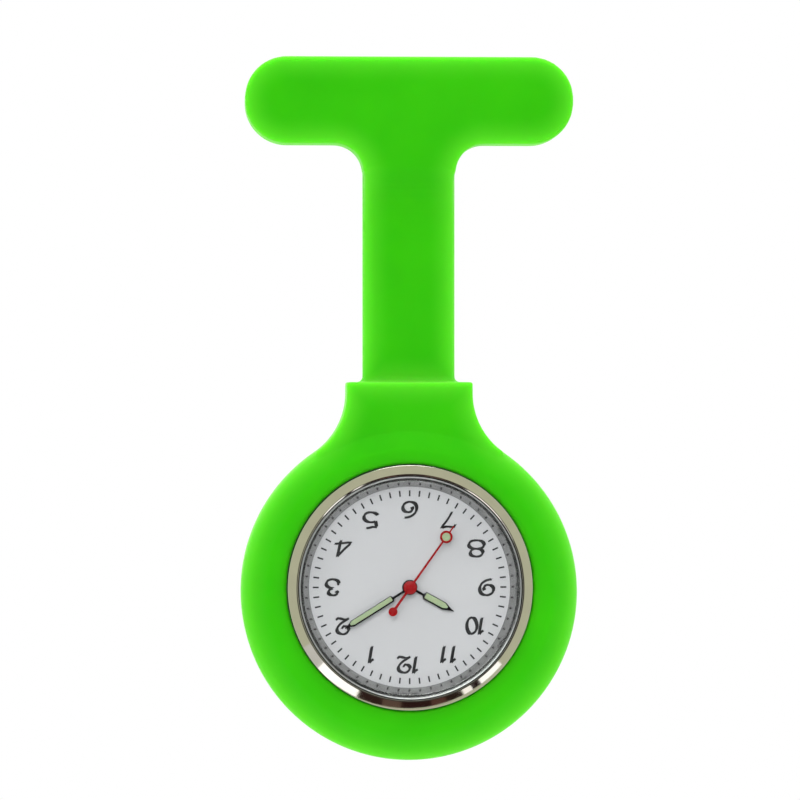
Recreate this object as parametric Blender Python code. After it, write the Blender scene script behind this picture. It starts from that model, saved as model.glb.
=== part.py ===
"""Fob watch: a one-piece silicone holder with a brooch pin, and the quartz watch head that it carries.

World frame: +Z up, the dial faces -Y, and the origin is the middle of the closed brooch needle. Lengths are
in metres. "Depth" is the distance from the needle towards the wearer's eye, along -Y. The watch head has its
own frame on the dial's axis: x to the right and y up as seen from the front, and z ("level") from the case
back's outer face towards the glass. The stem has another, whose z runs outwards from the dial's axis to the
crown.
"""

import math

import bmesh
import bpy
from mathutils import Euler, Matrix, Vector

MM = 0.001
TAU = 2 * math.pi
ROUND_SIDES = 40  # every round piece on the dial's axis, so that their flats line up
RIM_SIDES = 48  # the silicone ring's outside
FINE_SIDES = 12  # small rods, holes and posts

# ---- silicone holder: outline, seen from the front ----
BAR_WIDTH = 41.1 * MM
BAR_HEIGHT = 10.9 * MM
BAR_END_FLAT = 0.5 * MM  # the straight part of each end
BAR_FILLET = 3.6 * MM
STRAP_WIDTH = 11.6 * MM
STRAP_LENGTH = 29.8 * MM  # from the bar's lower edge to the collar's step
COLLAR_WIDTH = 15.75 * MM
COLLAR_FLARE = 9.0 * MM
RING_SIDE_WALL = 4.77 * MM  # beside the case
RING_DROP = 0.6 * MM  # the wall is this much thicker below the case than above it
COLLAR_TO_DIAL = 25.65 * MM  # from the collar's step down to the dial's axis

# ---- silicone holder: depths, from the needle's axis ----
BAR_BACK = 1.6 * MM
BAR_THICK = 5.2 * MM
STRAP_BACK = 2.4 * MM
STRAP_THICK = 2.8 * MM
COLLAR_BACK = 1.2 * MM
COLLAR_THICK = 6.3 * MM
RING_BACK = 0.6 * MM
RING_LIP = 1.3 * MM  # the silicone in front of the case's flange
BAR_EDGE = 1.2 * MM
COLLAR_EDGE = 0.8 * MM
STRAP_EDGE = 0.7 * MM
RING_EDGE = 1.1 * MM
RING_FALL = 0.4 * MM  # how far the front face falls towards the rim
FLEX_GAP = 0.3 * MM
FLEX_FLAT = 0.3 * MM  # the thickness left at the bend
FLEX_NOTCH = 1.15 * MM  # the bend's notch on each side, so that the halves clear each other

# ---- brooch pin, on the bar's back ----
PLATE_LENGTH = 31.2 * MM
PLATE_HEIGHT = 4.2 * MM
PLATE_THICK = 0.6 * MM
PLATE_BACK = 2.35 * MM
PLATE_CLEARANCE = 0.2 * MM
BRIDGE_WIDTH = 4.0 * MM
BRIDGE_OFFSET = 8.0 * MM
NEEDLE_RADIUS = 0.4 * MM
NEEDLE_HALF_SPAN = 14.0 * MM  # from the origin to the pivot, and to the middle of the catch
NEEDLE_OVERRUN = 0.7 * MM
NEEDLE_POINT = 3.0 * MM
PIVOT_CLEARANCE = 0.04 * MM
RIVET_RADIUS = 0.35 * MM
RIVET_HEAD_RIM = 0.25 * MM  # how far the heads stand out past the shank
RIVET_HEAD_THICK = 0.25 * MM
EYE_WALL = 0.51 * MM
EYE_HEIGHT = 1.2 * MM
EAR_WALL = 0.56 * MM
EAR_THICK = 0.4 * MM
EAR_GAP = 0.15 * MM
EAR_SPREAD = 0.19 * MM  # how much wider than its round end an ear's foot is, on each side
CATCH_ROOM = 0.15 * MM  # between the needle and the catch's bore
CATCH_WALL = 0.4 * MM
CATCH_RIM = 0.2 * MM
CATCH_RIM_THICK = 0.3 * MM
CATCH_SLOT_ROOM = 0.1 * MM  # on each side of the needle
CATCH_CLEARANCE = 0.05 * MM
HOUSING_WALL = 0.4 * MM
HOUSING_LENGTH = 1.2 * MM
HOUSING_SLOT_ROOM = 0.15 * MM  # on each side of the catch's slot
TAB_REACH = 0.95 * MM  # beyond the catch's rim
TAB_THICK = 0.35 * MM
TAB_LENGTH = 0.7 * MM
TAB_BEARING = TAU / 9  # below the way the catch opens

# ---- watch head: walls and gaps outwards from the glass ----
HEAD_RECESS = 0.4 * MM  # the case back stands this far inside the silicone's back
SEAT_GAP = 0.05 * MM  # between pieces that rest on or sit in each other
SKIN_GAP = 0.1 * MM  # between the silicone and the case
GLASS_RADIUS = 13.85 * MM
GLASS_THICK = 1.25 * MM
GLASS_CHAMFER = 0.35 * MM
GLASS_REVEAL = 0.15 * MM  # between the glass and the bezel's bore
GASKET_WALL = 0.27 * MM
NECK_WALL = 0.48 * MM
BEZEL_WALL = 0.53 * MM
BEZEL_TO_SKIN = 0.12 * MM
FLANGE_REACH = 0.8 * MM  # how far the case goes in under the silicone
CASE_CHAMFER = 0.75 * MM
SHELF_WIDTH = 0.82 * MM  # under the glass and its gasket
REHAUT_FOOT_WALL = 0.9 * MM
REHAUT_TOP_WALL = 0.2 * MM
BACK_SHELF = 0.55 * MM
BACK_REACH = 0.55 * MM  # how far the back laps over the case
BACK_TO_SKIN = 0.2 * MM
BEZEL_STEP = 0.33 * MM  # the bezel's rounded shoulder
BEZEL_TOP_STEP = 0.83 * MM
BEZEL_SHOULDER = 0.8 * MM
BEZEL_SHOULDER_TOP = 0.25 * MM
BEZEL_INNER_FALL = 0.05 * MM

# ---- watch head: heights from the case back's outer face ----
BACK_THICK = 0.5 * MM
BACK_FLANGE = 0.6 * MM
BACK_RIM_THICK = 0.45 * MM
BACK_RIM_HEIGHT = 0.5 * MM
BACK_GASKET_ROOM = 0.6 * MM
DIAL_THICK = 0.35 * MM
MOTION_ROOM = 0.8 * MM  # between the main plate and the dial
REHAUT_HEIGHT = 1.65 * MM
NECK_LIP = 0.6 * MM  # beside the glass
NECK_HEIGHT = 1.45 * MM
BEZEL_RISE = 0.65 * MM

# ---- crown, stem and keyless works: distances out along the stem from the dial's axis ----
STEM_RADIUS = 0.38 * MM
STEM_SQUARE = 0.4 * MM
STEM_INNER_END = 4.5 * MM
STEM_DROP = 0.8 * MM  # from the main plate to the stem's axis
SQUARE_END = 7.9 * MM
GROOVE_RADIUS = 0.22 * MM
GROOVE_AT = 9.25 * MM
GROOVE_WIDTH = 0.8 * MM
CROWN_RADIUS = 1.75 * MM
CROWN_GAP = 0.2 * MM  # between the case and the pushed-in crown
CROWN_LENGTH = 2.5 * MM
CROWN_RECESS_DEPTH = 1.4 * MM
CROWN_PULL = 0.8 * MM
CROWN_TEETH = 14
CROWN_KNURL = 0.15 * MM
TUBE_WALL = 0.38 * MM
TUBE_REACH = 1.2 * MM  # how far the tube goes into the crown
RUN_CLEARANCE = 0.04 * MM
GASKET_RIM = 0.27 * MM
GASKET_INSET = 0.15 * MM
GASKET_LENGTH = 0.4 * MM
POCKET_CLEARANCE = 0.35 * MM
CLUTCH_RADIUS = 0.72 * MM
CLUTCH_GROOVE = 0.45 * MM
CLUTCH_START = 6.2 * MM
CLUTCH_LENGTH = 1.4 * MM
LEVER_THICK = 0.3 * MM
LEVER_PIVOT_Y = -3.0 * MM
YOKE_PIVOT_Y = -4.4 * MM
LEVER_HUB = 0.6 * MM
LEVER_ARM = 0.7 * MM
LEVER_FINGER = 0.3 * MM
POST_RADIUS = 0.22 * MM

# ---- hands: lengths, heights and the time shown (degrees clockwise from 12) ----
HOUR_ANGLE = 298.7
MINUTE_ANGLE = 57.9
SECOND_ANGLE = 215.5
HAND_THICK = 0.15 * MM
HAND_RISE = 0.25 * MM  # from the dial to the hour hand
HAND_STEP = 0.45 * MM  # from each hand to the next
HAND_NECK = 0.15 * MM  # half the width of a hand's neck
HAND_TIP = 0.1 * MM
HAND_POINT = 0.06 * MM
HOUR_LENGTH = 6.26 * MM
HOUR_WIDTH = 1.0 * MM
HOUR_NECK_END = 1.9 * MM
HOUR_BODY_END = 4.9 * MM
HOUR_HUB_WALL = 0.25 * MM
MINUTE_LENGTH = 9.55 * MM
MINUTE_WIDTH = 0.85 * MM
MINUTE_NECK_END = 2.4 * MM
MINUTE_BODY_END = 8.4 * MM
MINUTE_HUB_WALL = 0.31 * MM
SECOND_LENGTH = 9.37 * MM
SECOND_WIDTH = 0.25 * MM
SECOND_TAIL = 3.68 * MM
SECOND_RING_AT = 7.74 * MM
SECOND_RING = 0.79 * MM
SECOND_HUB = 0.83 * MM
SECOND_WEIGHT = 0.56 * MM
SECOND_PIPE_DROP = 0.17 * MM
JOIN_LAP = 0.01 * MM  # keeps joined shapes' faces off each other

# ---- movement: plates and gear train ----
MOVEMENT_RADIUS = 10.4 * MM
MAIN_THICK = 0.5 * MM
BRIDGE_THICK = 0.4 * MM
TRAIN_ROOM = 1.7 * MM  # between the bridge and the main plate
BRIDGE_OUTLINE = (  # millimetres
    (7.1, -0.7),
    (7.1, 1.5),
    (1.2, 1.7),
    (-1.2, 4.6),
    (-1.5, 6.6),
    (-3.3, 6.6),
    (-4.9, 2.2),
    (-3.7, -5.6),
    (-1.7, -5.6),
    (2.6, -5.0),
    (4.2, -3.6),
)
WHEEL_THICK = 0.15 * MM
WHEEL_FIT = 0.02 * MM  # a wheel pressed on its arbor
PIVOT_RADIUS = 0.1 * MM
PIVOT_HOLE = 0.13 * MM
PIVOT_INSET = 0.1 * MM  # how far inside its plate a pivot ends
ARBOR_RADIUS = 0.15 * MM
CANNON_RADIUS = 0.4 * MM
CANNON_BORE = 0.2 * MM
HOUR_TUBE_RADIUS = 0.66 * MM
HOUR_TUBE_BORE = 0.45 * MM
MODULE_THIRD = 0.075 * MM  # fourth pinion with third wheel
MODULE_FOURTH = 0.11 * MM  # fifth pinion with fourth wheel
MODULE_FIFTH = 0.07 * MM  # rotor pinion with fifth wheel
MODULE_MOTION = 0.085 * MM  # cannon pinion with minute wheel
MODULE_SETTING = 0.104 * MM
PINION_LEAVES = 8
MOST_LEAVES = 12  # a gear with more teeth than this is a wheel
FIFTH_TEETH = 48
FOURTH_TEETH = 40
THIRD_TEETH = 60
CENTRE_TEETH = 64
CANNON_LEAVES = 12
MINUTE_TEETH = 36
MINUTE_LEAVES = 10
HOUR_TEETH = 40
SETTING_TEETH = 24
TOOTH_TIP = 0.11  # half a tooth's width at its tip, as a share of the pitch
TOOTH_ROOT = 0.27
ADDENDUM = 0.8  # a tooth's height above and below the pitch circle, in modules
DEDENDUM = 1.2
THIRD_BEARING = math.radians(150)
FIFTH_BEARING = math.radians(-60)
ROTOR_BEARING = math.radians(-40)  # from the fifth wheel's axis
MINUTE_BEARING = math.radians(180)
ROTOR_RADIUS = 0.7 * MM
# heights above the bridge: a wheel's lower face, or a pinion's leaves from and to
FIFTH_PINION_RISE = (0.1 * MM, 0.5 * MM)
FOURTH_RISE = 0.2 * MM
SECONDS_RISE = (0.55 * MM, 0.9 * MM)
THIRD_RISE = 0.65 * MM
ROTOR_PINION_RISE = (0.73 * MM, 1.05 * MM)
FIFTH_RISE = 0.85 * MM
THIRD_PINION_RISE = (1.1 * MM, 1.5 * MM)
MAGNET_RISE = (1.13 * MM, 1.6 * MM)
CANNON_START = 1.15 * MM
CENTRE_RISE = 1.25 * MM
# heights above the main plate's dial side
CANNON_RISE = (0.07 * MM, 0.27 * MM)
MINUTE_RISE = 0.1 * MM
HOUR_RISE = 0.37 * MM
MINUTE_PINION_TOP = 0.61 * MM
MINUTE_POST_TOP = 0.65 * MM
SETTING_PINION_TOP = 0.27 * MM
SETTING_DROP = 0.33 * MM  # from the main plate's other side to the setting wheel
SETTING_ARBOR_DROP = 0.4 * MM
WASHER_RADIUS = 1.5 * MM
WASHER_THICK = 0.05 * MM
WASHER_DISH = 0.12 * MM
WASHER_GAP = 0.06 * MM  # between the washer and the dial

# ---- movement: coil, stator, board, battery and screws ----
COIL_OFFSET = 7.6 * MM
COIL_SPAN = 9.2 * MM
COIL_RADIUS = 0.7 * MM
COIL_DROP = 0.75 * MM  # from the main plate to the coil's axis
COIL_LENGTH = 7.2 * MM
CORE_WIDTH = 1.1 * MM
CORE_THICK = 0.3 * MM
CORE_OVERHANG = 0.6 * MM
CORE_FIT = 0.03 * MM
STATOR_HOLE = 0.85 * MM
STATOR_THICK = 0.35 * MM
STATOR_WING = 1.15 * MM
STATOR_OUT = 0.6 * MM
STATOR_IN = 0.7 * MM
STATOR_NOTCH = 0.4 * MM
STATOR_ROOT = (1.6 * MM, 1.1 * MM)  # half width and height of the yoke round the rotor, inner side
STATOR_CROWN = (1.2 * MM, 1.2 * MM)  # the same on the coil's side
BOARD_DROP = 1.2 * MM  # from the coil's axis to the board
BOARD_THICK = 0.15 * MM
BOARD_SIDE = 1.0 * MM
BOARD_IN = 1.4 * MM
BOARD_OUT = 0.7 * MM
BOARD_CROWN = (2.6 * MM, 2.1 * MM)
CHIP_SIZE = 1.6 * MM
CHIP_THICK = 0.35 * MM
CHIP_EDGE = 0.08 * MM
CHIP_OUT = 0.6 * MM
QUARTZ_AT = (-5.83 * MM, 4.56 * MM)
QUARTZ_BEARING = math.radians(52)
QUARTZ_LENGTH = 5.2 * MM
QUARTZ_RADIUS = 0.75 * MM
QUARTZ_EDGE = 0.2 * MM
BATTERY_AT = (3.15 * MM, 5.46 * MM)
BATTERY_RADIUS = 3.4 * MM
BATTERY_THICK = 2.1 * MM
BATTERY_RISE = 0.45 * MM  # above the case back's inner face
BATTERY_EDGE = 0.2 * MM
BATTERY_CAP = (0.4 * MM, 0.6 * MM, 0.25 * MM)  # the negative cap: inset at its foot and top, and height
CONTACT_ROOM = 0.5 * MM  # between the battery and the main plate
CONTACT_GAP = 0.1 * MM
CONTACT_THICK = 0.1 * MM
CONTACT_TIP = 0.5 * MM
CONTACT_REACH = 2.6 * MM
CLAMP_GAP = 0.05 * MM
CLAMP_THICK = 0.1 * MM
CLAMP_RADIUS = 1.6 * MM
CLAMP_EYE = 0.8 * MM
CLAMP_SCREW_HEAD = 0.2 * MM
CLAMP_PILLAR = (8.4 * MM, 2.8 * MM)
PILLARS = ((-2.6 * MM, -4.6 * MM), (6.0 * MM, 0.4 * MM), (-2.4 * MM, 5.6 * MM))
PILLAR_RADIUS = 0.75 * MM
SCREW_HOLE = 0.28 * MM
SCREW_SHANK = 0.24 * MM
SCREW_HEAD = 0.5 * MM
SCREW_HEAD_THICK = 0.25 * MM
SCREW_SLOT_HALF = 0.08 * MM
SCREW_SLOT_DEPTH = 0.12 * MM
BURY = 0.1 * MM  # how far a post goes into the plate that it stands on

# ---- places that follow from the sizes above: the holder ----
BAR_CORNER = (BAR_HEIGHT - BAR_END_FLAT) / 2
BAR_FOOT = -BAR_HEIGHT / 2
STEP_Z = BAR_FOOT - STRAP_LENGTH
DIAL_Z = STEP_Z - COLLAR_TO_DIAL
RING_Z = DIAL_Z - RING_DROP
FLEX_Z = (BAR_FOOT + STEP_Z) / 2
STRAP_MIDDLE = STRAP_BACK + STRAP_THICK / 2
HEAD_DEPTH = RING_BACK + HEAD_RECESS

# ---- the brooch ----
EYE_RADIUS = RIVET_RADIUS + PIVOT_CLEARANCE + EYE_WALL
EAR_RADIUS = RIVET_RADIUS + PIVOT_CLEARANCE + EAR_WALL
RIVET_HEAD = RIVET_RADIUS + RIVET_HEAD_RIM
CATCH_BORE = NEEDLE_RADIUS + CATCH_ROOM
CATCH_RADIUS = CATCH_BORE + CATCH_WALL
CATCH_FLANGE = CATCH_RADIUS + CATCH_RIM
CATCH_SLOT = 2 * (NEEDLE_RADIUS + CATCH_SLOT_ROOM)
HOUSING_RADIUS = CATCH_RADIUS + CATCH_CLEARANCE + HOUSING_WALL
HOUSING_SLOT = CATCH_SLOT + 2 * HOUSING_SLOT_ROOM

# ---- the case's radii ----
BEZEL_BORE = GLASS_RADIUS + GLASS_REVEAL
NECK_BORE = GLASS_RADIUS + GASKET_WALL + 2 * SEAT_GAP
NECK_RADIUS = NECK_BORE + NECK_WALL
BEZEL_RADIUS = NECK_RADIUS + SEAT_GAP + BEZEL_WALL
LIP_FRONT_RADIUS = BEZEL_RADIUS + BEZEL_TO_SKIN
CASE_RADIUS = LIP_FRONT_RADIUS + FLANGE_REACH
CAVITY_RADIUS = CASE_RADIUS + SKIN_GAP
RING_RADIUS = CAVITY_RADIUS + RING_SIDE_WALL
CASE_BORE = NECK_BORE - SHELF_WIDTH
DIAL_RADIUS = CASE_BORE - 2 * SEAT_GAP
REHAUT_FOOT = CASE_BORE - REHAUT_FOOT_WALL
REHAUT_TOP = CASE_BORE - REHAUT_TOP_WALL
BACK_RECESS = CASE_BORE + BACK_SHELF
BACK_RADIUS = BACK_RECESS + BACK_REACH
LIP_BACK_RADIUS = BACK_RADIUS + BACK_TO_SKIN

# ---- levels, from the case back's outer face to the bezel's top ----
CASE_BACK_LEVEL = BACK_FLANGE + SEAT_GAP
BACK_RIM_LEVEL = CASE_BACK_LEVEL + BACK_RIM_HEIGHT
BACK_RECESS_LEVEL = BACK_RIM_LEVEL + BACK_GASKET_ROOM
BATTERY_LEVEL = BACK_THICK + BATTERY_RISE
MAIN_LEVEL = BATTERY_LEVEL + BATTERY_THICK + CONTACT_ROOM
MAIN_TOP = MAIN_LEVEL + MAIN_THICK
BRIDGE_TOP = MAIN_LEVEL - TRAIN_ROOM
BRIDGE_LEVEL = BRIDGE_TOP - BRIDGE_THICK
STEM_LEVEL = MAIN_LEVEL - STEM_DROP
LEVER_LEVEL = STEM_LEVEL - LEVER_THICK / 2
COIL_LEVEL = MAIN_LEVEL - COIL_DROP
BOARD_LEVEL = COIL_LEVEL - BOARD_DROP
CLAMP_LEVEL = BATTERY_LEVEL - CLAMP_GAP - CLAMP_THICK
DIAL_BACK = MAIN_TOP + MOTION_ROOM
DIAL_FRONT = DIAL_BACK + DIAL_THICK
HOUR_LEVEL = DIAL_FRONT + HAND_RISE
MINUTE_LEVEL = HOUR_LEVEL + HAND_STEP
SECOND_LEVEL = MINUTE_LEVEL + HAND_STEP
GLASS_BACK = DIAL_FRONT + REHAUT_HEIGHT
SHELF_LEVEL = GLASS_BACK - 2 * SEAT_GAP
NECK_LEVEL = SHELF_LEVEL + NECK_LIP
CASE_FLANGE_LEVEL = NECK_LEVEL - NECK_HEIGHT
BEZEL_LEVEL = NECK_LEVEL + BEZEL_RISE
RING_THICK = HEAD_RECESS + CASE_FLANGE_LEVEL + RING_LIP

# ---- along the stem ----
CROWN_START = CASE_RADIUS + CROWN_GAP
TUBE_RADIUS = STEM_RADIUS + RUN_CLEARANCE + TUBE_WALL
TUBE_END = CROWN_START + TUBE_REACH
GASKET_AT = CROWN_START + GASKET_INSET
CROWN_RECESS = TUBE_RADIUS + 2 * RUN_CLEARANCE + GASKET_RIM
CLUTCH_BORE = STEM_SQUARE + 2 * RUN_CLEARANCE
COIL_HALF = COIL_SPAN / 2


# ---------------------------------------------------------------- tools
def clear_scene():
    for obj in list(bpy.data.objects):
        bpy.data.objects.remove(obj, do_unlink=True)


def finish(name, colour, roughness, metallic, alpha=1.0):
    made = bpy.data.materials.new(name)
    made.use_nodes = True
    shader = made.node_tree.nodes["Principled BSDF"]
    shader.inputs["Base Color"].default_value = (*colour, 1.0)
    shader.inputs["Roughness"].default_value = roughness
    shader.inputs["Metallic"].default_value = metallic
    shader.inputs["Alpha"].default_value = alpha
    return made


def frame(name, parent, place, turn=(0, 0, 0)):
    """An empty that carries a local frame."""
    empty = bpy.data.objects.new(name, None)
    bpy.context.collection.objects.link(empty)
    empty.parent = parent
    empty.location = place
    empty.rotation_euler = turn
    return empty


def piece(name, bm, material, parent=None, place=(0, 0, 0), turn=(0, 0, 0)):
    """A named object from a bmesh, shaded smooth except at its real edges."""
    bmesh.ops.recalc_face_normals(bm, faces=bm.faces)
    if bm.calc_volume(signed=True) < 0:
        bmesh.ops.reverse_faces(bm, faces=bm.faces)
    mesh = bpy.data.meshes.new(name)
    bm.to_mesh(mesh)
    bm.free()
    mesh.shade_smooth()
    mesh.set_sharp_from_angle(angle=math.radians(35))
    mesh.materials.append(material)
    obj = bpy.data.objects.new(name, mesh)
    bpy.context.collection.objects.link(obj)
    obj.parent = parent
    obj.location = place
    obj.rotation_euler = turn
    return obj


def boolean(obj, operation, *helpers):
    """Joins helpers to an object, or cuts them from it, and leaves them out of the model."""
    for helper in helpers:
        modifier = obj.modifiers.new(helper.name, "BOOLEAN")
        modifier.operation = operation
        modifier.object = helper
        helper.hide_render = True
        helper.display_type = "WIRE"


def turned(outline, sides):
    """A solid of revolution about z from (radius, height) points; it is open where it meets the axis."""
    bm = bmesh.new()
    verts = [bm.verts.new((radius, 0, height)) for radius, height in outline]
    edges = [bm.edges.new(pair) for pair in zip(verts, verts[1:])]
    if outline[0][0] > 0 or outline[-1][0] > 0:
        edges.append(bm.edges.new((verts[-1], verts[0])))
    bmesh.ops.spin(
        bm, geom=verts + edges, cent=(0, 0, 0), axis=(0, 0, 1), angle=TAU, steps=sides, use_merge=True
    )
    bmesh.ops.remove_doubles(bm, verts=bm.verts, dist=0.0005 * MM)
    return bm


def circle(radius, sides, centre=(0, 0)):
    return [
        (centre[0] + radius * math.cos(TAU * i / sides), centre[1] + radius * math.sin(TAU * i / sides))
        for i in range(sides)
    ]


def arc(centre, radius, start, end, steps):
    """Points from one angle in degrees to another, both included."""
    angles = [math.radians(start + (end - start) * i / steps) for i in range(steps + 1)]
    return [(centre[0] + radius * math.cos(a), centre[1] + radius * math.sin(a)) for a in angles]


def plate(outline, holes, low, high):
    """A flat plate between two levels, with holes through it."""
    bm = bmesh.new()
    for loop in [outline, *holes]:
        verts = [bm.verts.new((x, y, low)) for x, y in loop]
        for a, b in zip(verts, verts[1:] + verts[:1]):
            bm.edges.new((a, b))
    filled = bmesh.ops.triangle_fill(bm, use_beauty=True, edges=bm.edges[:])
    faces = [f for f in filled["geom"] if isinstance(f, bmesh.types.BMFace)]
    raised = bmesh.ops.extrude_face_region(bm, geom=faces)
    verts = [v for v in raised["geom"] if isinstance(v, bmesh.types.BMVert)]
    bmesh.ops.translate(bm, vec=(0, 0, high - low), verts=verts)
    return bm


def slab(outline, low, high, edge, segments):
    """A plate with its rim rounded at both faces."""
    bm = bmesh.new()
    face = bm.faces.new([bm.verts.new((x, y, low)) for x, y in outline])
    raised = bmesh.ops.extrude_face_region(bm, geom=[face])
    verts = [v for v in raised["geom"] if isinstance(v, bmesh.types.BMVert)]
    bmesh.ops.translate(bm, vec=(0, 0, high - low), verts=verts)
    middle = (low + high) / 2
    rims = [e for e in bm.edges if (e.verts[0].co.z < middle) == (e.verts[1].co.z < middle)]
    bmesh.ops.bevel(
        bm, geom=rims, offset=edge, segments=segments, profile=0.5, affect="EDGES", clamp_overlap=True
    )
    return bm


def block(low, high):
    bm = bmesh.new()
    bmesh.ops.create_cube(bm, size=1)
    size = [b - a for a, b in zip(low, high)]
    middle = [(a + b) / 2 for a, b in zip(low, high)]
    bmesh.ops.scale(bm, vec=size, verts=bm.verts)
    bmesh.ops.translate(bm, vec=middle, verts=bm.verts)
    return bm


def rod(radius, low, high, sides):
    return turned([(0, low), (radius, low), (radius, high), (0, high)], sides)


def ring(bore, radius, low, high, sides):
    return turned([(bore, low), (radius, low), (radius, high), (bore, high)], sides)


def rotated(point, angle):
    c, s = math.cos(angle), math.sin(angle)
    return (point[0] * c - point[1] * s, point[0] * s + point[1] * c)


def away(start, distance, bearing):
    return (start[0] + distance * math.cos(bearing), start[1] + distance * math.sin(bearing))


def tooth_points(teeth, module, phase):
    """A gear's outline with a tooth centred at phase: a pinion's roots are flat, and a wheel's are a V."""
    pitch = TAU / teeth
    root = (teeth / 2 - DEDENDUM) * module
    tip = (teeth / 2 + ADDENDUM) * module
    corners = ((-TOOTH_ROOT, root), (-TOOTH_TIP, tip), (TOOTH_TIP, tip), (TOOTH_ROOT, root))
    if teeth > MOST_LEAVES:
        corners = ((-0.5, root), (-TOOTH_TIP, tip), (TOOTH_TIP, tip))
    points = []
    for i in range(teeth):
        for share, radius in corners:
            angle = phase + (i + share) * pitch
            points.append((radius * math.cos(angle), radius * math.sin(angle)))
    return points


def meshing_phase(teeth_a, phase_a, bearing, teeth_b):
    """The phase at which gear b, lying at this bearing from gear a, has a gap where a has a tooth."""
    share_a = (bearing - phase_a) * teeth_a / TAU
    share_b = 0.5 - share_a
    return bearing + math.pi - share_b * TAU / teeth_b


# ---------------------------------------------------------------- silicone holder
def bar_outline():
    half, radius, strap = BAR_WIDTH / 2, BAR_CORNER, STRAP_WIDTH / 2
    top = BAR_HEIGHT / 2
    foot = BAR_FOOT - BAR_FILLET
    points = arc((half - radius, top - radius), radius, 90, 0, 7)
    points += arc((half - radius, radius - top), radius, 0, -90, 7)
    points += arc((strap + BAR_FILLET, foot), BAR_FILLET, 90, 180, 6)
    points += [(-x, y) for x, y in reversed(points)]
    return points


def collar_outline():
    half = COLLAR_WIDTH / 2
    reach = RING_RADIUS + COLLAR_FLARE
    flare_x = half + COLLAR_FLARE
    flare_z = RING_Z + math.sqrt(reach**2 - flare_x**2)
    lean = math.degrees(math.asin(flare_x / reach))
    points = [(half, STEP_Z)]
    points += arc((flare_x, flare_z), COLLAR_FLARE, 180, 270 - lean, 7)
    points.append((half, DIAL_Z + CASE_RADIUS - RING_SIDE_WALL))
    points += [(-x, z) for x, z in reversed(points)]
    return points


def strap_half(top, end, sign):
    """A length of strap whose end at the bend is cut back on both faces; sign is +1 for the upper length."""
    half, flat = STRAP_THICK / 2, FLEX_FLAT / 2
    notch = end + sign * FLEX_NOTCH
    outline = [(-half, top), (half, top), (half, notch), (flat, end), (-flat, end), (-half, notch)]
    bm = plate(outline, [], -STRAP_WIDTH / 2, STRAP_WIDTH / 2)
    # the plate's x, y and z become the depth, the height and the width
    turn = Matrix(((0, 0, 1), (-1, 0, 0), (0, 1, 0))).to_4x4()
    bmesh.ops.transform(bm, matrix=turn, verts=bm.verts)
    bmesh.ops.translate(bm, vec=(0, -STRAP_MIDDLE, 0), verts=bm.verts)
    long_edges = [
        e
        for e in bm.edges
        if abs(e.verts[0].co.x - e.verts[1].co.x) < 0.01 * MM
        and abs(e.verts[0].co.y - e.verts[1].co.y) < 0.01 * MM
        and abs(abs(e.verts[0].co.x) - STRAP_WIDTH / 2) < 0.01 * MM
        and abs(e.verts[0].co.z - e.verts[1].co.z) > FLEX_NOTCH
    ]
    bmesh.ops.bevel(bm, geom=long_edges, offset=STRAP_EDGE, segments=2, profile=0.5, affect="EDGES")
    bmesh.ops.triangulate(bm, faces=bm.faces)
    return bm


def upper_holder(silicone):
    front = Euler((math.radians(90), 0, 0))
    bar = slab(bar_outline(), BAR_BACK, BAR_BACK + BAR_THICK, BAR_EDGE, 3)
    holder = piece("holder_upper", bar, silicone, turn=front)
    strap = piece("strap_top", strap_half(0, FLEX_Z + FLEX_GAP / 2, 1), silicone)
    boolean(holder, "UNION", strap)
    half_length = PLATE_LENGTH / 2 + PLATE_CLEARANCE
    half_height = PLATE_HEIGHT / 2 + PLATE_CLEARANCE
    front_wall = -(PLATE_BACK + PLATE_THICK + PLATE_CLEARANCE)
    channel = block(
        (-half_length, front_wall, -half_height), (half_length, PLATE_CLEARANCE - PLATE_BACK, half_height)
    )
    boolean(holder, "DIFFERENCE", piece("plate_channel", channel, silicone))
    edges = (-half_length, -BRIDGE_OFFSET, BRIDGE_OFFSET)
    for i, (start, end) in enumerate(
        (
            (edges[0], edges[1] - BRIDGE_WIDTH / 2),
            (edges[1] + BRIDGE_WIDTH / 2, edges[2] - BRIDGE_WIDTH / 2),
            (edges[2] + BRIDGE_WIDTH / 2, half_length),
        )
    ):
        low = (start, -PLATE_BACK - PLATE_THICK / 2, -half_height)
        high = (end, BAR_BACK, half_height)
        boolean(holder, "DIFFERENCE", piece(f"back_window_{i}", block(low, high), silicone))


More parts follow.
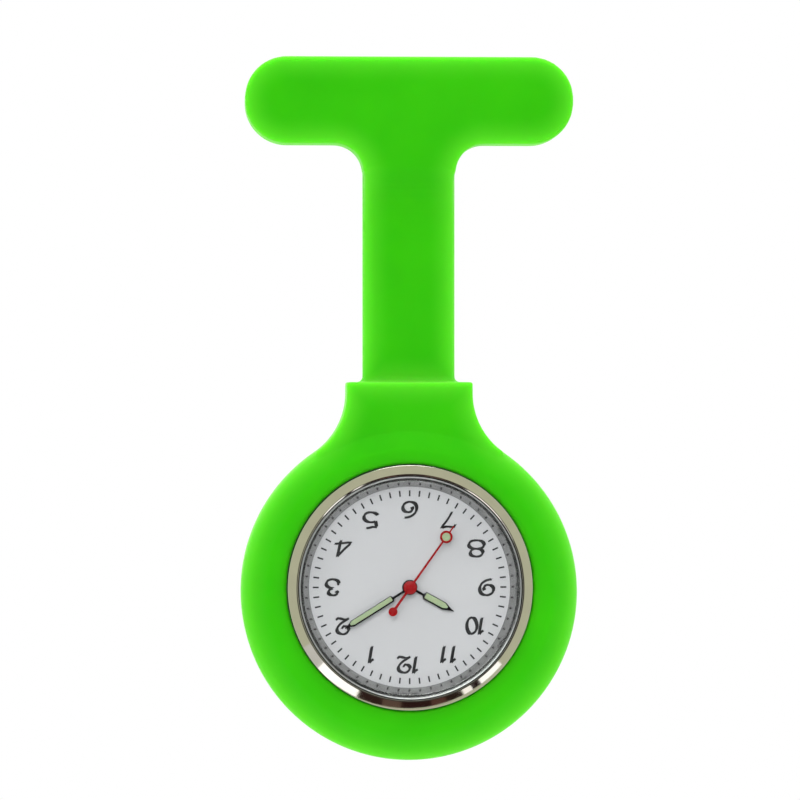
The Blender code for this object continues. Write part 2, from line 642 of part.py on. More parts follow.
def lower_holder(silicone, head, stem):
    front = Euler((math.radians(90), 0, 0))
    back, face = RING_BACK, RING_BACK + RING_THICK
    rim = face - RING_FALL
    body = [(0, back), (RING_RADIUS - RING_EDGE, back)]
    body += arc((RING_RADIUS - RING_EDGE, back + RING_EDGE), RING_EDGE, -60, 0, 2)
    body += arc((RING_RADIUS - RING_EDGE, rim - RING_EDGE), RING_EDGE, 0, 70, 3)
    body += [(LIP_FRONT_RADIUS + RING_EDGE, face), (0, face)]
    holder = piece("holder_lower", turned(body, RIM_SIDES), silicone, place=(0, 0, RING_Z), turn=front)
    collar = slab(collar_outline(), COLLAR_BACK, COLLAR_BACK + COLLAR_THICK, COLLAR_EDGE, 2)
    strap = strap_half(STEP_Z - COLLAR_EDGE * 2, FLEX_Z - FLEX_GAP / 2, -1)
    boolean(
        holder,
        "UNION",
        piece("collar", collar, silicone, turn=front),
        piece("strap_foot", strap, silicone),
    )
    lip_front = CASE_FLANGE_LEVEL + SKIN_GAP
    lip_back = CASE_BACK_LEVEL - SKIN_GAP
    cavity = [
        (0, -RING_THICK),
        (LIP_BACK_RADIUS, -RING_THICK),
        (LIP_BACK_RADIUS, lip_back),
        (CAVITY_RADIUS - CASE_CHAMFER, lip_back),
        (CAVITY_RADIUS, lip_back + CASE_CHAMFER),
        (CAVITY_RADIUS, lip_front - CASE_CHAMFER),
        (CAVITY_RADIUS - CASE_CHAMFER, lip_front),
        (LIP_FRONT_RADIUS, lip_front),
        (LIP_FRONT_RADIUS, 2 * RING_THICK),
        (0, 2 * RING_THICK),
    ]
    reach = CROWN_START + CROWN_LENGTH + CROWN_PULL + SKIN_GAP
    pocket = rod(CROWN_RADIUS + POCKET_CLEARANCE, NECK_BORE, reach, 24)
    boolean(
        holder,
        "DIFFERENCE",
        piece("case_cavity", turned(cavity, ROUND_SIDES), silicone, head),
        piece("crown_pocket", pocket, silicone, stem),
    )


# ---------------------------------------------------------------- brooch pin
def brooch(steel):
    along = Euler((0, math.radians(90), 0))
    half = PLATE_LENGTH / 2
    bar = block((-half, -PLATE_BACK - PLATE_THICK, -PLATE_HEIGHT / 2), (half, -PLATE_BACK, PLATE_HEIGHT / 2))
    plate_obj = piece("brooch_plate", bar, steel)
    root_y = -PLATE_BACK - PLATE_THICK / 2
    ear_foot = EAR_RADIUS + EAR_SPREAD
    ear = arc((0, 0), EAR_RADIUS, 180, 0, 10) + [(ear_foot, root_y), (-ear_foot, root_y)]
    ear_near = EYE_HEIGHT / 2 + EAR_GAP
    hole = circle(RIVET_RADIUS + PIVOT_CLEARANCE, 16)
    for name, low in (("ear_top", ear_near), ("ear_foot", -ear_near - EAR_THICK)):
        shape = plate(ear, [hole], low, low + EAR_THICK)
        boolean(plate_obj, "UNION", piece(name, shape, steel, place=(-NEEDLE_HALF_SPAN, 0, 0)))

    # the catch's housing is a C open at the back, on a foot that meets the bar; local x is depth
    inner = CATCH_RADIUS + CATCH_CLEARANCE
    open_outer = math.degrees(math.asin(HOUSING_SLOT / 2 / HOUSING_RADIUS))
    open_inner = math.degrees(math.asin(HOUSING_SLOT / 2 / inner))
    foot = 30  # degrees: the foot is as wide as the housing's radius
    outline = arc((0, 0), HOUSING_RADIUS, 180 - open_outer, foot, 9)
    outline += [(-root_y, HOUSING_RADIUS / 2), (-root_y, -HOUSING_RADIUS / 2)]
    outline += arc((0, 0), HOUSING_RADIUS, -foot, open_outer - 180, 9)
    outline += arc((0, 0), inner, open_inner - 180, 180 - open_inner, 20)
    housing = plate(outline, [], -HOUSING_LENGTH / 2, HOUSING_LENGTH / 2)
    turn = Matrix(((0, 0, 1), (-1, 0, 0), (0, -1, 0))).to_4x4()
    bmesh.ops.transform(housing, matrix=turn, verts=housing.verts)
    boolean(plate_obj, "UNION", piece("catch_housing", housing, steel, place=(NEEDLE_HALF_SPAN, 0, 0)))

    span = 2 * NEEDLE_HALF_SPAN + NEEDLE_OVERRUN
    shaft = turned(
        [
            (0, RIVET_RADIUS + NEEDLE_RADIUS / 2),
            (NEEDLE_RADIUS, RIVET_RADIUS + NEEDLE_RADIUS / 2),
            (NEEDLE_RADIUS, span - NEEDLE_POINT),
            (NEEDLE_RADIUS * 0.25, span - NEEDLE_RADIUS / 2),
            (0, span),
        ],
        14,
    )
    eye = ring(RIVET_RADIUS + PIVOT_CLEARANCE, EYE_RADIUS, -EYE_HEIGHT / 2, EYE_HEIGHT / 2, 24)
    pivot = (-NEEDLE_HALF_SPAN, 0, 0)
    needle = piece("brooch_needle", eye, steel, place=pivot)
    boolean(needle, "UNION", piece("needle_shaft", shaft, steel, place=pivot, turn=along))

    reach = ear_near + EAR_THICK + SEAT_GAP
    rivet = turned(
        [
            (0, -reach - RIVET_HEAD_THICK),
            (RIVET_HEAD * 0.7, -reach - RIVET_HEAD_THICK),
            (RIVET_HEAD, -reach),
            (RIVET_RADIUS, -reach),
            (RIVET_RADIUS, reach),
            (RIVET_HEAD, reach),
            (RIVET_HEAD * 0.7, reach + RIVET_HEAD_THICK),
            (0, reach + RIVET_HEAD_THICK),
        ],
        16,
    )
    piece("brooch_rivet", rivet, steel, place=pivot)

    # the rolling sleeve: its slot lines up with the housing's when the catch is open
    grip = HOUSING_LENGTH / 2 + CATCH_CLEARANCE
    tab_end = grip + CATCH_RIM_THICK + TAB_LENGTH
    sleeve = turned(
        [
            (CATCH_BORE, -grip - CATCH_RIM_THICK),
            (CATCH_FLANGE, -grip - CATCH_RIM_THICK),
            (CATCH_FLANGE, -grip),
            (CATCH_RADIUS, -grip),
            (CATCH_RADIUS, grip),
            (CATCH_FLANGE, grip),
            (CATCH_FLANGE, tab_end),
            (CATCH_BORE, tab_end),
        ],
        20,
    )
    catch = piece("brooch_catch", sleeve, steel, place=(NEEDLE_HALF_SPAN, 0, 0), turn=along)
    reach = 2 * HOUSING_LENGTH
    slot = block((-2 * CATCH_FLANGE, -CATCH_SLOT / 2, -reach), (0, CATCH_SLOT / 2, reach))
    # the sleeve's local x points down and its y back, so the slot is turned to face back
    slot_obj = piece("catch_slot", slot, steel, place=(NEEDLE_HALF_SPAN, 0, 0), turn=along)
    lie = Matrix.Rotation(TAU / 4, 3, "Y")
    slot_obj.rotation_euler = (lie @ Matrix.Rotation(-TAU / 4, 3, "Z")).to_euler()
    tab = block(
        (CATCH_BORE + CATCH_WALL, -TAB_THICK / 2, tab_end - TAB_LENGTH),
        (CATCH_FLANGE + TAB_REACH, TAB_THICK / 2, tab_end - CATCH_CLEARANCE),
    )
    tab_obj = piece("catch_tab", tab, steel, place=(NEEDLE_HALF_SPAN, 0, 0), turn=along)
    tab_obj.rotation_euler = (lie @ Matrix.Rotation(TAB_BEARING, 3, "Z")).to_euler()
    boolean(catch, "UNION", tab_obj)
    boolean(catch, "DIFFERENCE", slot_obj)


# ---------------------------------------------------------------- case
def case(finishes, head, stem):
    steel = finishes["polished_steel"]
    middle = [
        (BACK_RECESS, CASE_BACK_LEVEL),
        (CASE_RADIUS - CASE_CHAMFER, CASE_BACK_LEVEL),
        (CASE_RADIUS, CASE_BACK_LEVEL + CASE_CHAMFER),
        (CASE_RADIUS, CASE_FLANGE_LEVEL - CASE_CHAMFER),
        (CASE_RADIUS - CASE_CHAMFER, CASE_FLANGE_LEVEL),
        (NECK_RADIUS, CASE_FLANGE_LEVEL),
        (NECK_RADIUS, NECK_LEVEL),
        (NECK_BORE, NECK_LEVEL),
        (NECK_BORE, SHELF_LEVEL),
        (CASE_BORE, SHELF_LEVEL),
        (CASE_BORE, BACK_RECESS_LEVEL),
        (BACK_RECESS, BACK_RECESS_LEVEL),
    ]
    body = piece("case_middle", turned(middle, ROUND_SIDES), steel, head)
    tube_hole = rod(TUBE_RADIUS + SEAT_GAP, MOVEMENT_RADIUS, RING_RADIUS, 20)
    boolean(body, "DIFFERENCE", piece("tube_hole", tube_hole, steel, stem))

    seat = NECK_LEVEL + SEAT_GAP
    bore = NECK_RADIUS + SEAT_GAP
    bezel = [
        (bore, CASE_FLANGE_LEVEL + SEAT_GAP),
        (BEZEL_RADIUS, CASE_FLANGE_LEVEL + SEAT_GAP),
        (BEZEL_RADIUS, BEZEL_LEVEL - BEZEL_SHOULDER),
        (BEZEL_RADIUS - BEZEL_STEP, BEZEL_LEVEL - BEZEL_SHOULDER_TOP),
        (BEZEL_RADIUS - BEZEL_TOP_STEP, BEZEL_LEVEL),
        (BEZEL_BORE, BEZEL_LEVEL - BEZEL_INNER_FALL),
        (BEZEL_BORE, seat),
        (bore, seat),
    ]
    piece("bezel", turned(bezel, ROUND_SIDES), steel, head)

    glass = [
        (0, GLASS_BACK),
        (GLASS_RADIUS, GLASS_BACK),
        (GLASS_RADIUS, GLASS_BACK + GLASS_THICK - GLASS_CHAMFER),
        (GLASS_RADIUS - GLASS_CHAMFER, GLASS_BACK + GLASS_THICK),
        (0, GLASS_BACK + GLASS_THICK),
    ]
    piece("crystal", turned(glass, ROUND_SIDES), finishes["glass"], head)
    gasket = ring(
        GLASS_RADIUS + SEAT_GAP,
        NECK_BORE - SEAT_GAP,
        SHELF_LEVEL + SEAT_GAP,
        NECK_LEVEL - SEAT_GAP,
        ROUND_SIDES,
    )
    piece("crystal_gasket", gasket, finishes["black_rubber"], head)

    wall = [
        (REHAUT_FOOT, DIAL_FRONT + SEAT_GAP),
        (CASE_BORE - SEAT_GAP, DIAL_FRONT + SEAT_GAP),
        (CASE_BORE - SEAT_GAP, GLASS_BACK - SEAT_GAP),
        (REHAUT_TOP, GLASS_BACK - SEAT_GAP),
    ]
    piece("rehaut_ring", turned(wall, ROUND_SIDES), steel, head)

    rim_bore = BACK_RECESS - SEAT_GAP - BACK_RIM_THICK
    back = [
        (0, 0),
        (BACK_RADIUS - BACK_THICK / 2, 0),
        (BACK_RADIUS, BACK_THICK / 2),
        (BACK_RADIUS, CASE_BACK_LEVEL - SEAT_GAP),
        (BACK_RECESS - SEAT_GAP, CASE_BACK_LEVEL - SEAT_GAP),
        (BACK_RECESS - SEAT_GAP, BACK_RIM_LEVEL),
        (rim_bore, BACK_RIM_LEVEL),
        (rim_bore, BACK_THICK),
        (0, BACK_THICK),
    ]
    piece("case_back", turned(back, ROUND_SIDES), finishes["brushed_steel"], head)
    seal = ring(
        CASE_BORE + SEAT_GAP,
        BACK_RECESS - SEAT_GAP,
        BACK_RIM_LEVEL + SEAT_GAP,
        BACK_RECESS_LEVEL - SEAT_GAP,
        ROUND_SIDES,
    )
    piece("case_back_gasket", seal, finishes["black_rubber"], head)

    dial_hole = circle(HOUR_TUBE_RADIUS + 2 * SEAT_GAP, 20)
    dial = plate(circle(DIAL_RADIUS, ROUND_SIDES), [dial_hole], DIAL_BACK, DIAL_FRONT)
    piece("dial", dial, finishes["dial_paint"], head)
    spacer = ring(
        MOVEMENT_RADIUS + 2 * SEAT_GAP,
        CASE_BORE - 2 * SEAT_GAP,
        BACK_RECESS_LEVEL,
        DIAL_BACK - SEAT_GAP,
        ROUND_SIDES,
    )
    spacer_obj = piece("movement_ring", spacer, finishes["white_plastic"], head)
    notch = block(
        (-CROWN_START, -2 * STEM_RADIUS, 0), (-NECK_BORE / 2, 2 * STEM_RADIUS, STEM_LEVEL + 2 * STEM_RADIUS)
    )
    boolean(spacer_obj, "DIFFERENCE", piece("stem_notch", notch, steel, head))


# ---------------------------------------------------------------- crown and keyless works
def stem_works(finishes, head, stem):
    steel = finishes["tool_steel"]
    tube = ring(STEM_RADIUS + RUN_CLEARANCE, TUBE_RADIUS, CASE_BORE + SEAT_GAP, TUBE_END, 20)
    piece("crown_tube", tube, finishes["polished_steel"], stem)
    seal_end = GASKET_AT + GASKET_LENGTH
    seal = ring(TUBE_RADIUS + RUN_CLEARANCE, CROWN_RECESS - RUN_CLEARANCE, GASKET_AT, seal_end, 20)
    piece("crown_gasket", seal, finishes["black_rubber"], stem)

    end = CROWN_START + CROWN_LENGTH
    profile = [(0, CROWN_START), (CROWN_RADIUS, CROWN_START), (CROWN_RADIUS, end), (0, end)]
    crown = piece("crown", turned(profile, 24), finishes["polished_steel"], stem)
    recess = rod(CROWN_RECESS, CASE_RADIUS, CROWN_START + CROWN_RECESS_DEPTH, 20)
    boolean(crown, "DIFFERENCE", piece("crown_recess", recess, steel, stem))
    groove = CROWN_KNURL / 2
    for i in range(CROWN_TEETH):
        angle = TAU * i / CROWN_TEETH
        tool = block(
            (CROWN_RADIUS - CROWN_KNURL, -groove, CROWN_START - SEAT_GAP),
            (2 * CROWN_RADIUS, groove, end - CROWN_KNURL),
        )
        bmesh.ops.rotate(tool, matrix=Matrix.Rotation(angle, 3, "Z"), verts=tool.verts)
        boolean(crown, "DIFFERENCE", piece(f"knurl_{i}", tool, steel, stem))

    round_part = [
        (0, SQUARE_END - SEAT_GAP),
        (STEM_RADIUS, SQUARE_END - SEAT_GAP),
        (STEM_RADIUS, GROOVE_AT - GROOVE_WIDTH / 2),
        (GROOVE_RADIUS, GROOVE_AT - GROOVE_WIDTH / 2),
        (GROOVE_RADIUS, GROOVE_AT + GROOVE_WIDTH / 2),
        (STEM_RADIUS, GROOVE_AT + GROOVE_WIDTH / 2),
        (STEM_RADIUS, CROWN_START + CROWN_RECESS_DEPTH - SEAT_GAP),
        (0, CROWN_START + CROWN_RECESS_DEPTH - SEAT_GAP),
    ]
    stem_obj = piece("stem", turned(round_part, 20), steel, stem)
    half = STEM_SQUARE / 2
    square = block((-half, -half, STEM_INNER_END), (half, half, SQUARE_END))
    boolean(stem_obj, "UNION", piece("stem_square", square, steel, stem))

    third = CLUTCH_LENGTH / 3
    body = [
        (0, CLUTCH_START),
        (CLUTCH_RADIUS, CLUTCH_START),
        (CLUTCH_RADIUS, CLUTCH_START + third),
        (CLUTCH_GROOVE, CLUTCH_START + third),
        (CLUTCH_GROOVE, CLUTCH_START + 2 * third),
        (CLUTCH_RADIUS, CLUTCH_START + 2 * third),
        (CLUTCH_RADIUS, CLUTCH_START + CLUTCH_LENGTH),
        (0, CLUTCH_START + CLUTCH_LENGTH),
    ]
    clutch = piece("clutch", turned(body, 24), steel, stem)
    half = CLUTCH_BORE / 2
    bore = block((-half, -half, STEM_INNER_END), (half, half, SQUARE_END))
    boolean(clutch, "DIFFERENCE", piece("clutch_bore", bore, steel, stem))

    clutch_mid = CLUTCH_START + CLUTCH_LENGTH / 2
    for name, x, pivot_y, neck in (
        ("setting_lever", GROOVE_AT, LEVER_PIVOT_Y, GROOVE_RADIUS),
        ("yoke", clutch_mid, YOKE_PIVOT_Y, CLUTCH_GROOVE),
    ):
        reach = -pivot_y - neck - SEAT_GAP
        shoulder = reach - CLUTCH_RADIUS
        tail = [(-LEVER_HUB, 0), *arc((0, 0), LEVER_HUB, 180, 360, 10)[1:-1], (LEVER_HUB, 0)]
        arm = [
            (LEVER_ARM / 2, LEVER_HUB),
            (LEVER_ARM / 2, shoulder - LEVER_ARM / 2),
            (LEVER_FINGER / 2, shoulder),
            (LEVER_FINGER / 2, reach),
        ]
        outline = tail + arm + [(-a, b) for a, b in reversed(arm)]
        hole = circle(POST_RADIUS + RUN_CLEARANCE, 14)
        shape = plate(outline, [hole], LEVER_LEVEL, LEVER_LEVEL + LEVER_THICK)
        piece(name, shape, steel, head, (-x, pivot_y, 0))


# ---------------------------------------------------------------- hands
def blade(length, width, neck_end, body_end, hole, hub_wall):
    """An outline pointing along +y: hub, neck, broad body and point. Its hub goes round a hole."""
    hub = hole + hub_wall
    right = [
        (HAND_NECK, hub),
        (HAND_NECK, neck_end),
        (width / 2, neck_end + width / 4),
        (width / 2, body_end),
        (HAND_TIP, length - width / 2),
        (HAND_POINT, length),
    ]
    tail = arc((0, 0), hub, 100, 440, 20)
    tail = [(x, y) for x, y in tail if not (abs(x) < HAND_NECK * 1.3 and y > 0)]
    return right + [(-x, y) for x, y in reversed(right)] + tail, [circle(hole, 16)]


def hand_turn(angle):
    return Euler((0, 0, math.pi - math.radians(angle)))


def hands(finishes, head):
    for name, level, turn, sizes in (
        (
            "hour_hand",
            HOUR_LEVEL,
            HOUR_ANGLE,
            (
                HOUR_LENGTH,
                HOUR_WIDTH,
                HOUR_NECK_END,
                HOUR_BODY_END,
                HOUR_TUBE_RADIUS + RUN_CLEARANCE,
                HOUR_HUB_WALL,
            ),
        ),
        (
            "minute_hand",
            MINUTE_LEVEL,
            MINUTE_ANGLE,
            (
                MINUTE_LENGTH,
                MINUTE_WIDTH,
                MINUTE_NECK_END,
                MINUTE_BODY_END,
                CANNON_RADIUS + RUN_CLEARANCE,
                MINUTE_HUB_WALL,
            ),
        ),
    ):
        outline, holes = blade(*sizes)
        shape = plate(outline, holes, level, level + HAND_THICK)
        piece(name, shape, finishes["black_paint"], head, turn=hand_turn(turn))

    red = finishes["red_paint"]
    half = SECOND_WIDTH / 2
    top = SECOND_LEVEL + HAND_THICK
    needle = block((-half, -SECOND_TAIL, SECOND_LEVEL), (half, SECOND_LENGTH, top))
    turn = hand_turn(SECOND_ANGLE)
    hand = piece("second_hand", needle, red, head, turn=turn)
    for name, at, radius in (
        ("hub", 0, SECOND_HUB),
        ("weight", -SECOND_TAIL, SECOND_WEIGHT),
        ("sight", SECOND_RING_AT, SECOND_RING),
    ):
        disc = rod(radius, SECOND_LEVEL - JOIN_LAP, top + JOIN_LAP, 20)
        bmesh.ops.translate(disc, vec=(0, at, 0), verts=disc.verts)
        boolean(hand, "UNION", piece("second_" + name, disc, red, head, turn=turn))
    pipe_foot = SECOND_LEVEL - SECOND_PIPE_DROP
    pipe = ring(ARBOR_RADIUS + WHEEL_FIT, 2 * ARBOR_RADIUS, pipe_foot, SECOND_LEVEL + SEAT_GAP, 16)
    boolean(hand, "UNION", piece("second_pipe", pipe, red, head, turn=turn))


# ---------------------------------------------------------------- gear train
def train(finishes, head):
    """Rotor to centre wheel, then the motion works. Every gear starts in mesh with its neighbour."""
    brass, steel = finishes["brass"], finishes["tool_steel"]
    centre = (0, 0)
    third_at = away(centre, (PINION_LEAVES + THIRD_TEETH) / 2 * MODULE_THIRD, THIRD_BEARING)
    fifth_at = away(centre, (PINION_LEAVES + FOURTH_TEETH) / 2 * MODULE_FOURTH, FIFTH_BEARING)
    rotor_at = away(fifth_at, (PINION_LEAVES + FIFTH_TEETH) / 2 * MODULE_FIFTH, ROTOR_BEARING)
    minute_at = away(centre, (CANNON_LEAVES + MINUTE_TEETH) / 2 * MODULE_MOTION, MINUTE_BEARING)
    setting_at = away(minute_at, (MINUTE_TEETH + PINION_LEAVES) / 2 * MODULE_MOTION, MINUTE_BEARING)
    module_centre = 2 * math.hypot(*third_at) / (PINION_LEAVES + CENTRE_TEETH)
    module_hour = 2 * math.hypot(*minute_at) / (MINUTE_LEAVES + HOUR_TEETH)
    bridge_end = BRIDGE_LEVEL + PIVOT_INSET
    main_end = MAIN_TOP - PIVOT_INSET

    def above_bridge(rises):
        return tuple(BRIDGE_TOP + rise for rise in rises)

    def wheel(name, at, teeth, module, phase, level, hole, material=brass):
        outline = tooth_points(teeth, module, phase)
        shape = plate(outline, [circle(hole, FINE_SIDES)], level, level + WHEEL_THICK)
        piece(name, shape, material, head, (*at, 0))

    def arbor(name, at, sections, leaves, teeth, module, phase):
        """A pinion cut from its arbor: sections are (low, high, radius), and leaves are (low, high)."""
        outline = [(0, sections[0][0])]
        for low, high, radius in sections:
            outline += [(radius, low), (radius, high)]
        outline.append((0, sections[-1][1]))
        made = piece(name, turned(outline, FINE_SIDES), steel, head, (*at, 0))
        cut = plate(tooth_points(teeth, module, phase), [], *leaves)
        boolean(made, "UNION", piece(name + "_leaves", cut, steel, head, (*at, 0)))
        return made

    seat = ARBOR_RADIUS + WHEEL_FIT
    between_plates = [
        (bridge_end, BRIDGE_TOP, PIVOT_RADIUS),
        (BRIDGE_TOP + SEAT_GAP, MAIN_LEVEL - SEAT_GAP, ARBOR_RADIUS),
        (MAIN_LEVEL, main_end, PIVOT_RADIUS),
    ]

    phase = meshing_phase(PINION_LEAVES, 0, FIFTH_BEARING + math.pi, FOURTH_TEETH)
    wheel("fourth_wheel", centre, FOURTH_TEETH, MODULE_FOURTH, phase, BRIDGE_TOP + FOURTH_RISE, seat)
    arbor(
        "seconds_arbor",
        centre,
        [between_plates[0], (BRIDGE_TOP + SEAT_GAP, SECOND_LEVEL - SEAT_GAP, ARBOR_RADIUS)],
        above_bridge(SECONDS_RISE),
        PINION_LEAVES,
        MODULE_THIRD,
        0,
    )
    arbor(
        "fifth_pinion",
        fifth_at,
        between_plates,
        above_bridge(FIFTH_PINION_RISE),
        PINION_LEAVES,
        MODULE_FOURTH,
        0,
    )
    phase = meshing_phase(PINION_LEAVES, 0, ROTOR_BEARING + math.pi, FIFTH_TEETH)
    wheel("fifth_wheel", fifth_at, FIFTH_TEETH, MODULE_FIFTH, phase, BRIDGE_TOP + FIFTH_RISE, seat)
    arbor(
        "rotor_pinion",
        rotor_at,
        between_plates,
        above_bridge(ROTOR_PINION_RISE),
        PINION_LEAVES,
        MODULE_FIFTH,
        0,
    )
    magnet = ring(seat, ROTOR_RADIUS, *above_bridge(MAGNET_RISE), 24)
    piece("rotor_magnet", magnet, finishes["dark_magnet"], head, (*rotor_at, 0))

    phase = meshing_phase(PINION_LEAVES, 0, THIRD_BEARING, THIRD_TEETH)
    wheel("third_wheel", third_at, THIRD_TEETH, MODULE_THIRD, phase, BRIDGE_TOP + THIRD_RISE, seat)
    arbor(
        "third_pinion",
        third_at,
        between_plates,
        above_bridge(THIRD_PINION_RISE),
        PINION_LEAVES,
        module_centre,
        0,
    )
    phase = meshing_phase(PINION_LEAVES, 0, THIRD_BEARING + math.pi, CENTRE_TEETH)
    level = BRIDGE_TOP + CENTRE_RISE
    wheel("centre_wheel", centre, CENTRE_TEETH, module_centre, phase, level, CANNON_RADIUS + WHEEL_FIT)

    cannon_obj = arbor(
        "cannon_pinion",
        centre,
        [(BRIDGE_TOP + CANNON_START, MINUTE_LEVEL + HAND_THICK + 2 * SEAT_GAP, CANNON_RADIUS)],
        tuple(MAIN_TOP + rise for rise in CANNON_RISE),
        CANNON_LEAVES,
        MODULE_MOTION,
        0,
    )
    bore = rod(CANNON_BORE, WHEEL_THICK, 2 * MINUTE_LEVEL, 16)
    boolean(cannon_obj, "DIFFERENCE", piece("cannon_bore", bore, steel, head))

    post_hole = POST_RADIUS + RUN_CLEARANCE
    minute_phase = meshing_phase(CANNON_LEAVES, 0, MINUTE_BEARING, MINUTE_TEETH)
    level = MAIN_TOP + MINUTE_RISE
    wheel("minute_wheel", minute_at, MINUTE_TEETH, MODULE_MOTION, minute_phase, level, post_hole)
    pinion = plate(
        tooth_points(MINUTE_LEAVES, module_hour, 0),
        [circle(post_hole, FINE_SIDES)],
        level + WHEEL_THICK + WHEEL_FIT,
        MAIN_TOP + MINUTE_PINION_TOP,
    )
    piece("minute_pinion", pinion, steel, head, (*minute_at, 0))
    phase = meshing_phase(MINUTE_LEAVES, 0, MINUTE_BEARING + math.pi, HOUR_TEETH)
    hour_low = MAIN_TOP + HOUR_RISE
    plate_part = plate(
        tooth_points(HOUR_TEETH, module_hour, phase),
        [circle(HOUR_TUBE_BORE + WHEEL_FIT, 16)],
        hour_low,
        hour_low + WHEEL_THICK,
    )
    hour = piece("hour_wheel", plate_part, brass, head)
    hour_top = HOUR_LEVEL + HAND_THICK + 2 * SEAT_GAP
    tube = ring(HOUR_TUBE_BORE, HOUR_TUBE_RADIUS, hour_low + WHEEL_THICK / 2, hour_top, 16)
    boolean(hour, "UNION", piece("hour_tube", tube, brass, head))
    washer_high = DIAL_BACK - WASHER_GAP
    washer_low = washer_high - WASHER_DISH
    washer = turned(
        [
            (HOUR_TUBE_RADIUS + SEAT_GAP, washer_high - WASHER_THICK),
            (WASHER_RADIUS, washer_low - WASHER_THICK),
            (WASHER_RADIUS, washer_low),
            (HOUR_TUBE_RADIUS + SEAT_GAP, washer_high),
        ],
        24,
    )
    piece("dial_washer", washer, brass, head)

    setting_phase = meshing_phase(MINUTE_TEETH, minute_phase, MINUTE_BEARING, PINION_LEAVES)
    level = MAIN_LEVEL - SETTING_DROP
    wheel("setting_wheel", setting_at, SETTING_TEETH, MODULE_SETTING, 0, level, seat, steel)
    arbor(
        "setting_pinion",
        setting_at,
        [(MAIN_LEVEL - SETTING_ARBOR_DROP, MAIN_TOP + 2 * SEAT_GAP, ARBOR_RADIUS)],
        (MAIN_TOP + SEAT_GAP, MAIN_TOP + SETTING_PINION_TOP),
        PINION_LEAVES,
        MODULE_MOTION,
        setting_phase,
    )
    return {
        "third": third_at,
        "fifth": fifth_at,
        "rotor": rotor_at,
        "minute": minute_at,
        "setting": setting_at,
    }


# ---------------------------------------------------------------- plates, coil, battery and board
def screw(name, at, head_level, end_level, finishes, head):
    """A cheese-head screw with a slot, its head towards the case back."""
    shape = turned(
        [
            (0, head_level),
            (SCREW_HEAD, head_level),
            (SCREW_HEAD, head_level + SCREW_HEAD_THICK),
            (SCREW_SHANK, head_level + SCREW_HEAD_THICK),
            (SCREW_SHANK, end_level),
            (0, end_level),
        ],
        FINE_SIDES,
    )
    made = piece(name, shape, finishes["tool_steel"], head, (*at, 0))
    slot = block(
        (-2 * SCREW_HEAD, -SCREW_SLOT_HALF, head_level - SCREW_HEAD_THICK),
        (2 * SCREW_HEAD, SCREW_SLOT_HALF, head_level + SCREW_SLOT_DEPTH),
    )
    boolean(made, "DIFFERENCE", piece(name + "_slot", slot, finishes["tool_steel"], head, (*at, 0)))


def coil_point(bearing, along, out):
    """A point in the coil's own directions: along the winding, and outwards from the dial's axis."""
    return rotated((out, along), bearing)


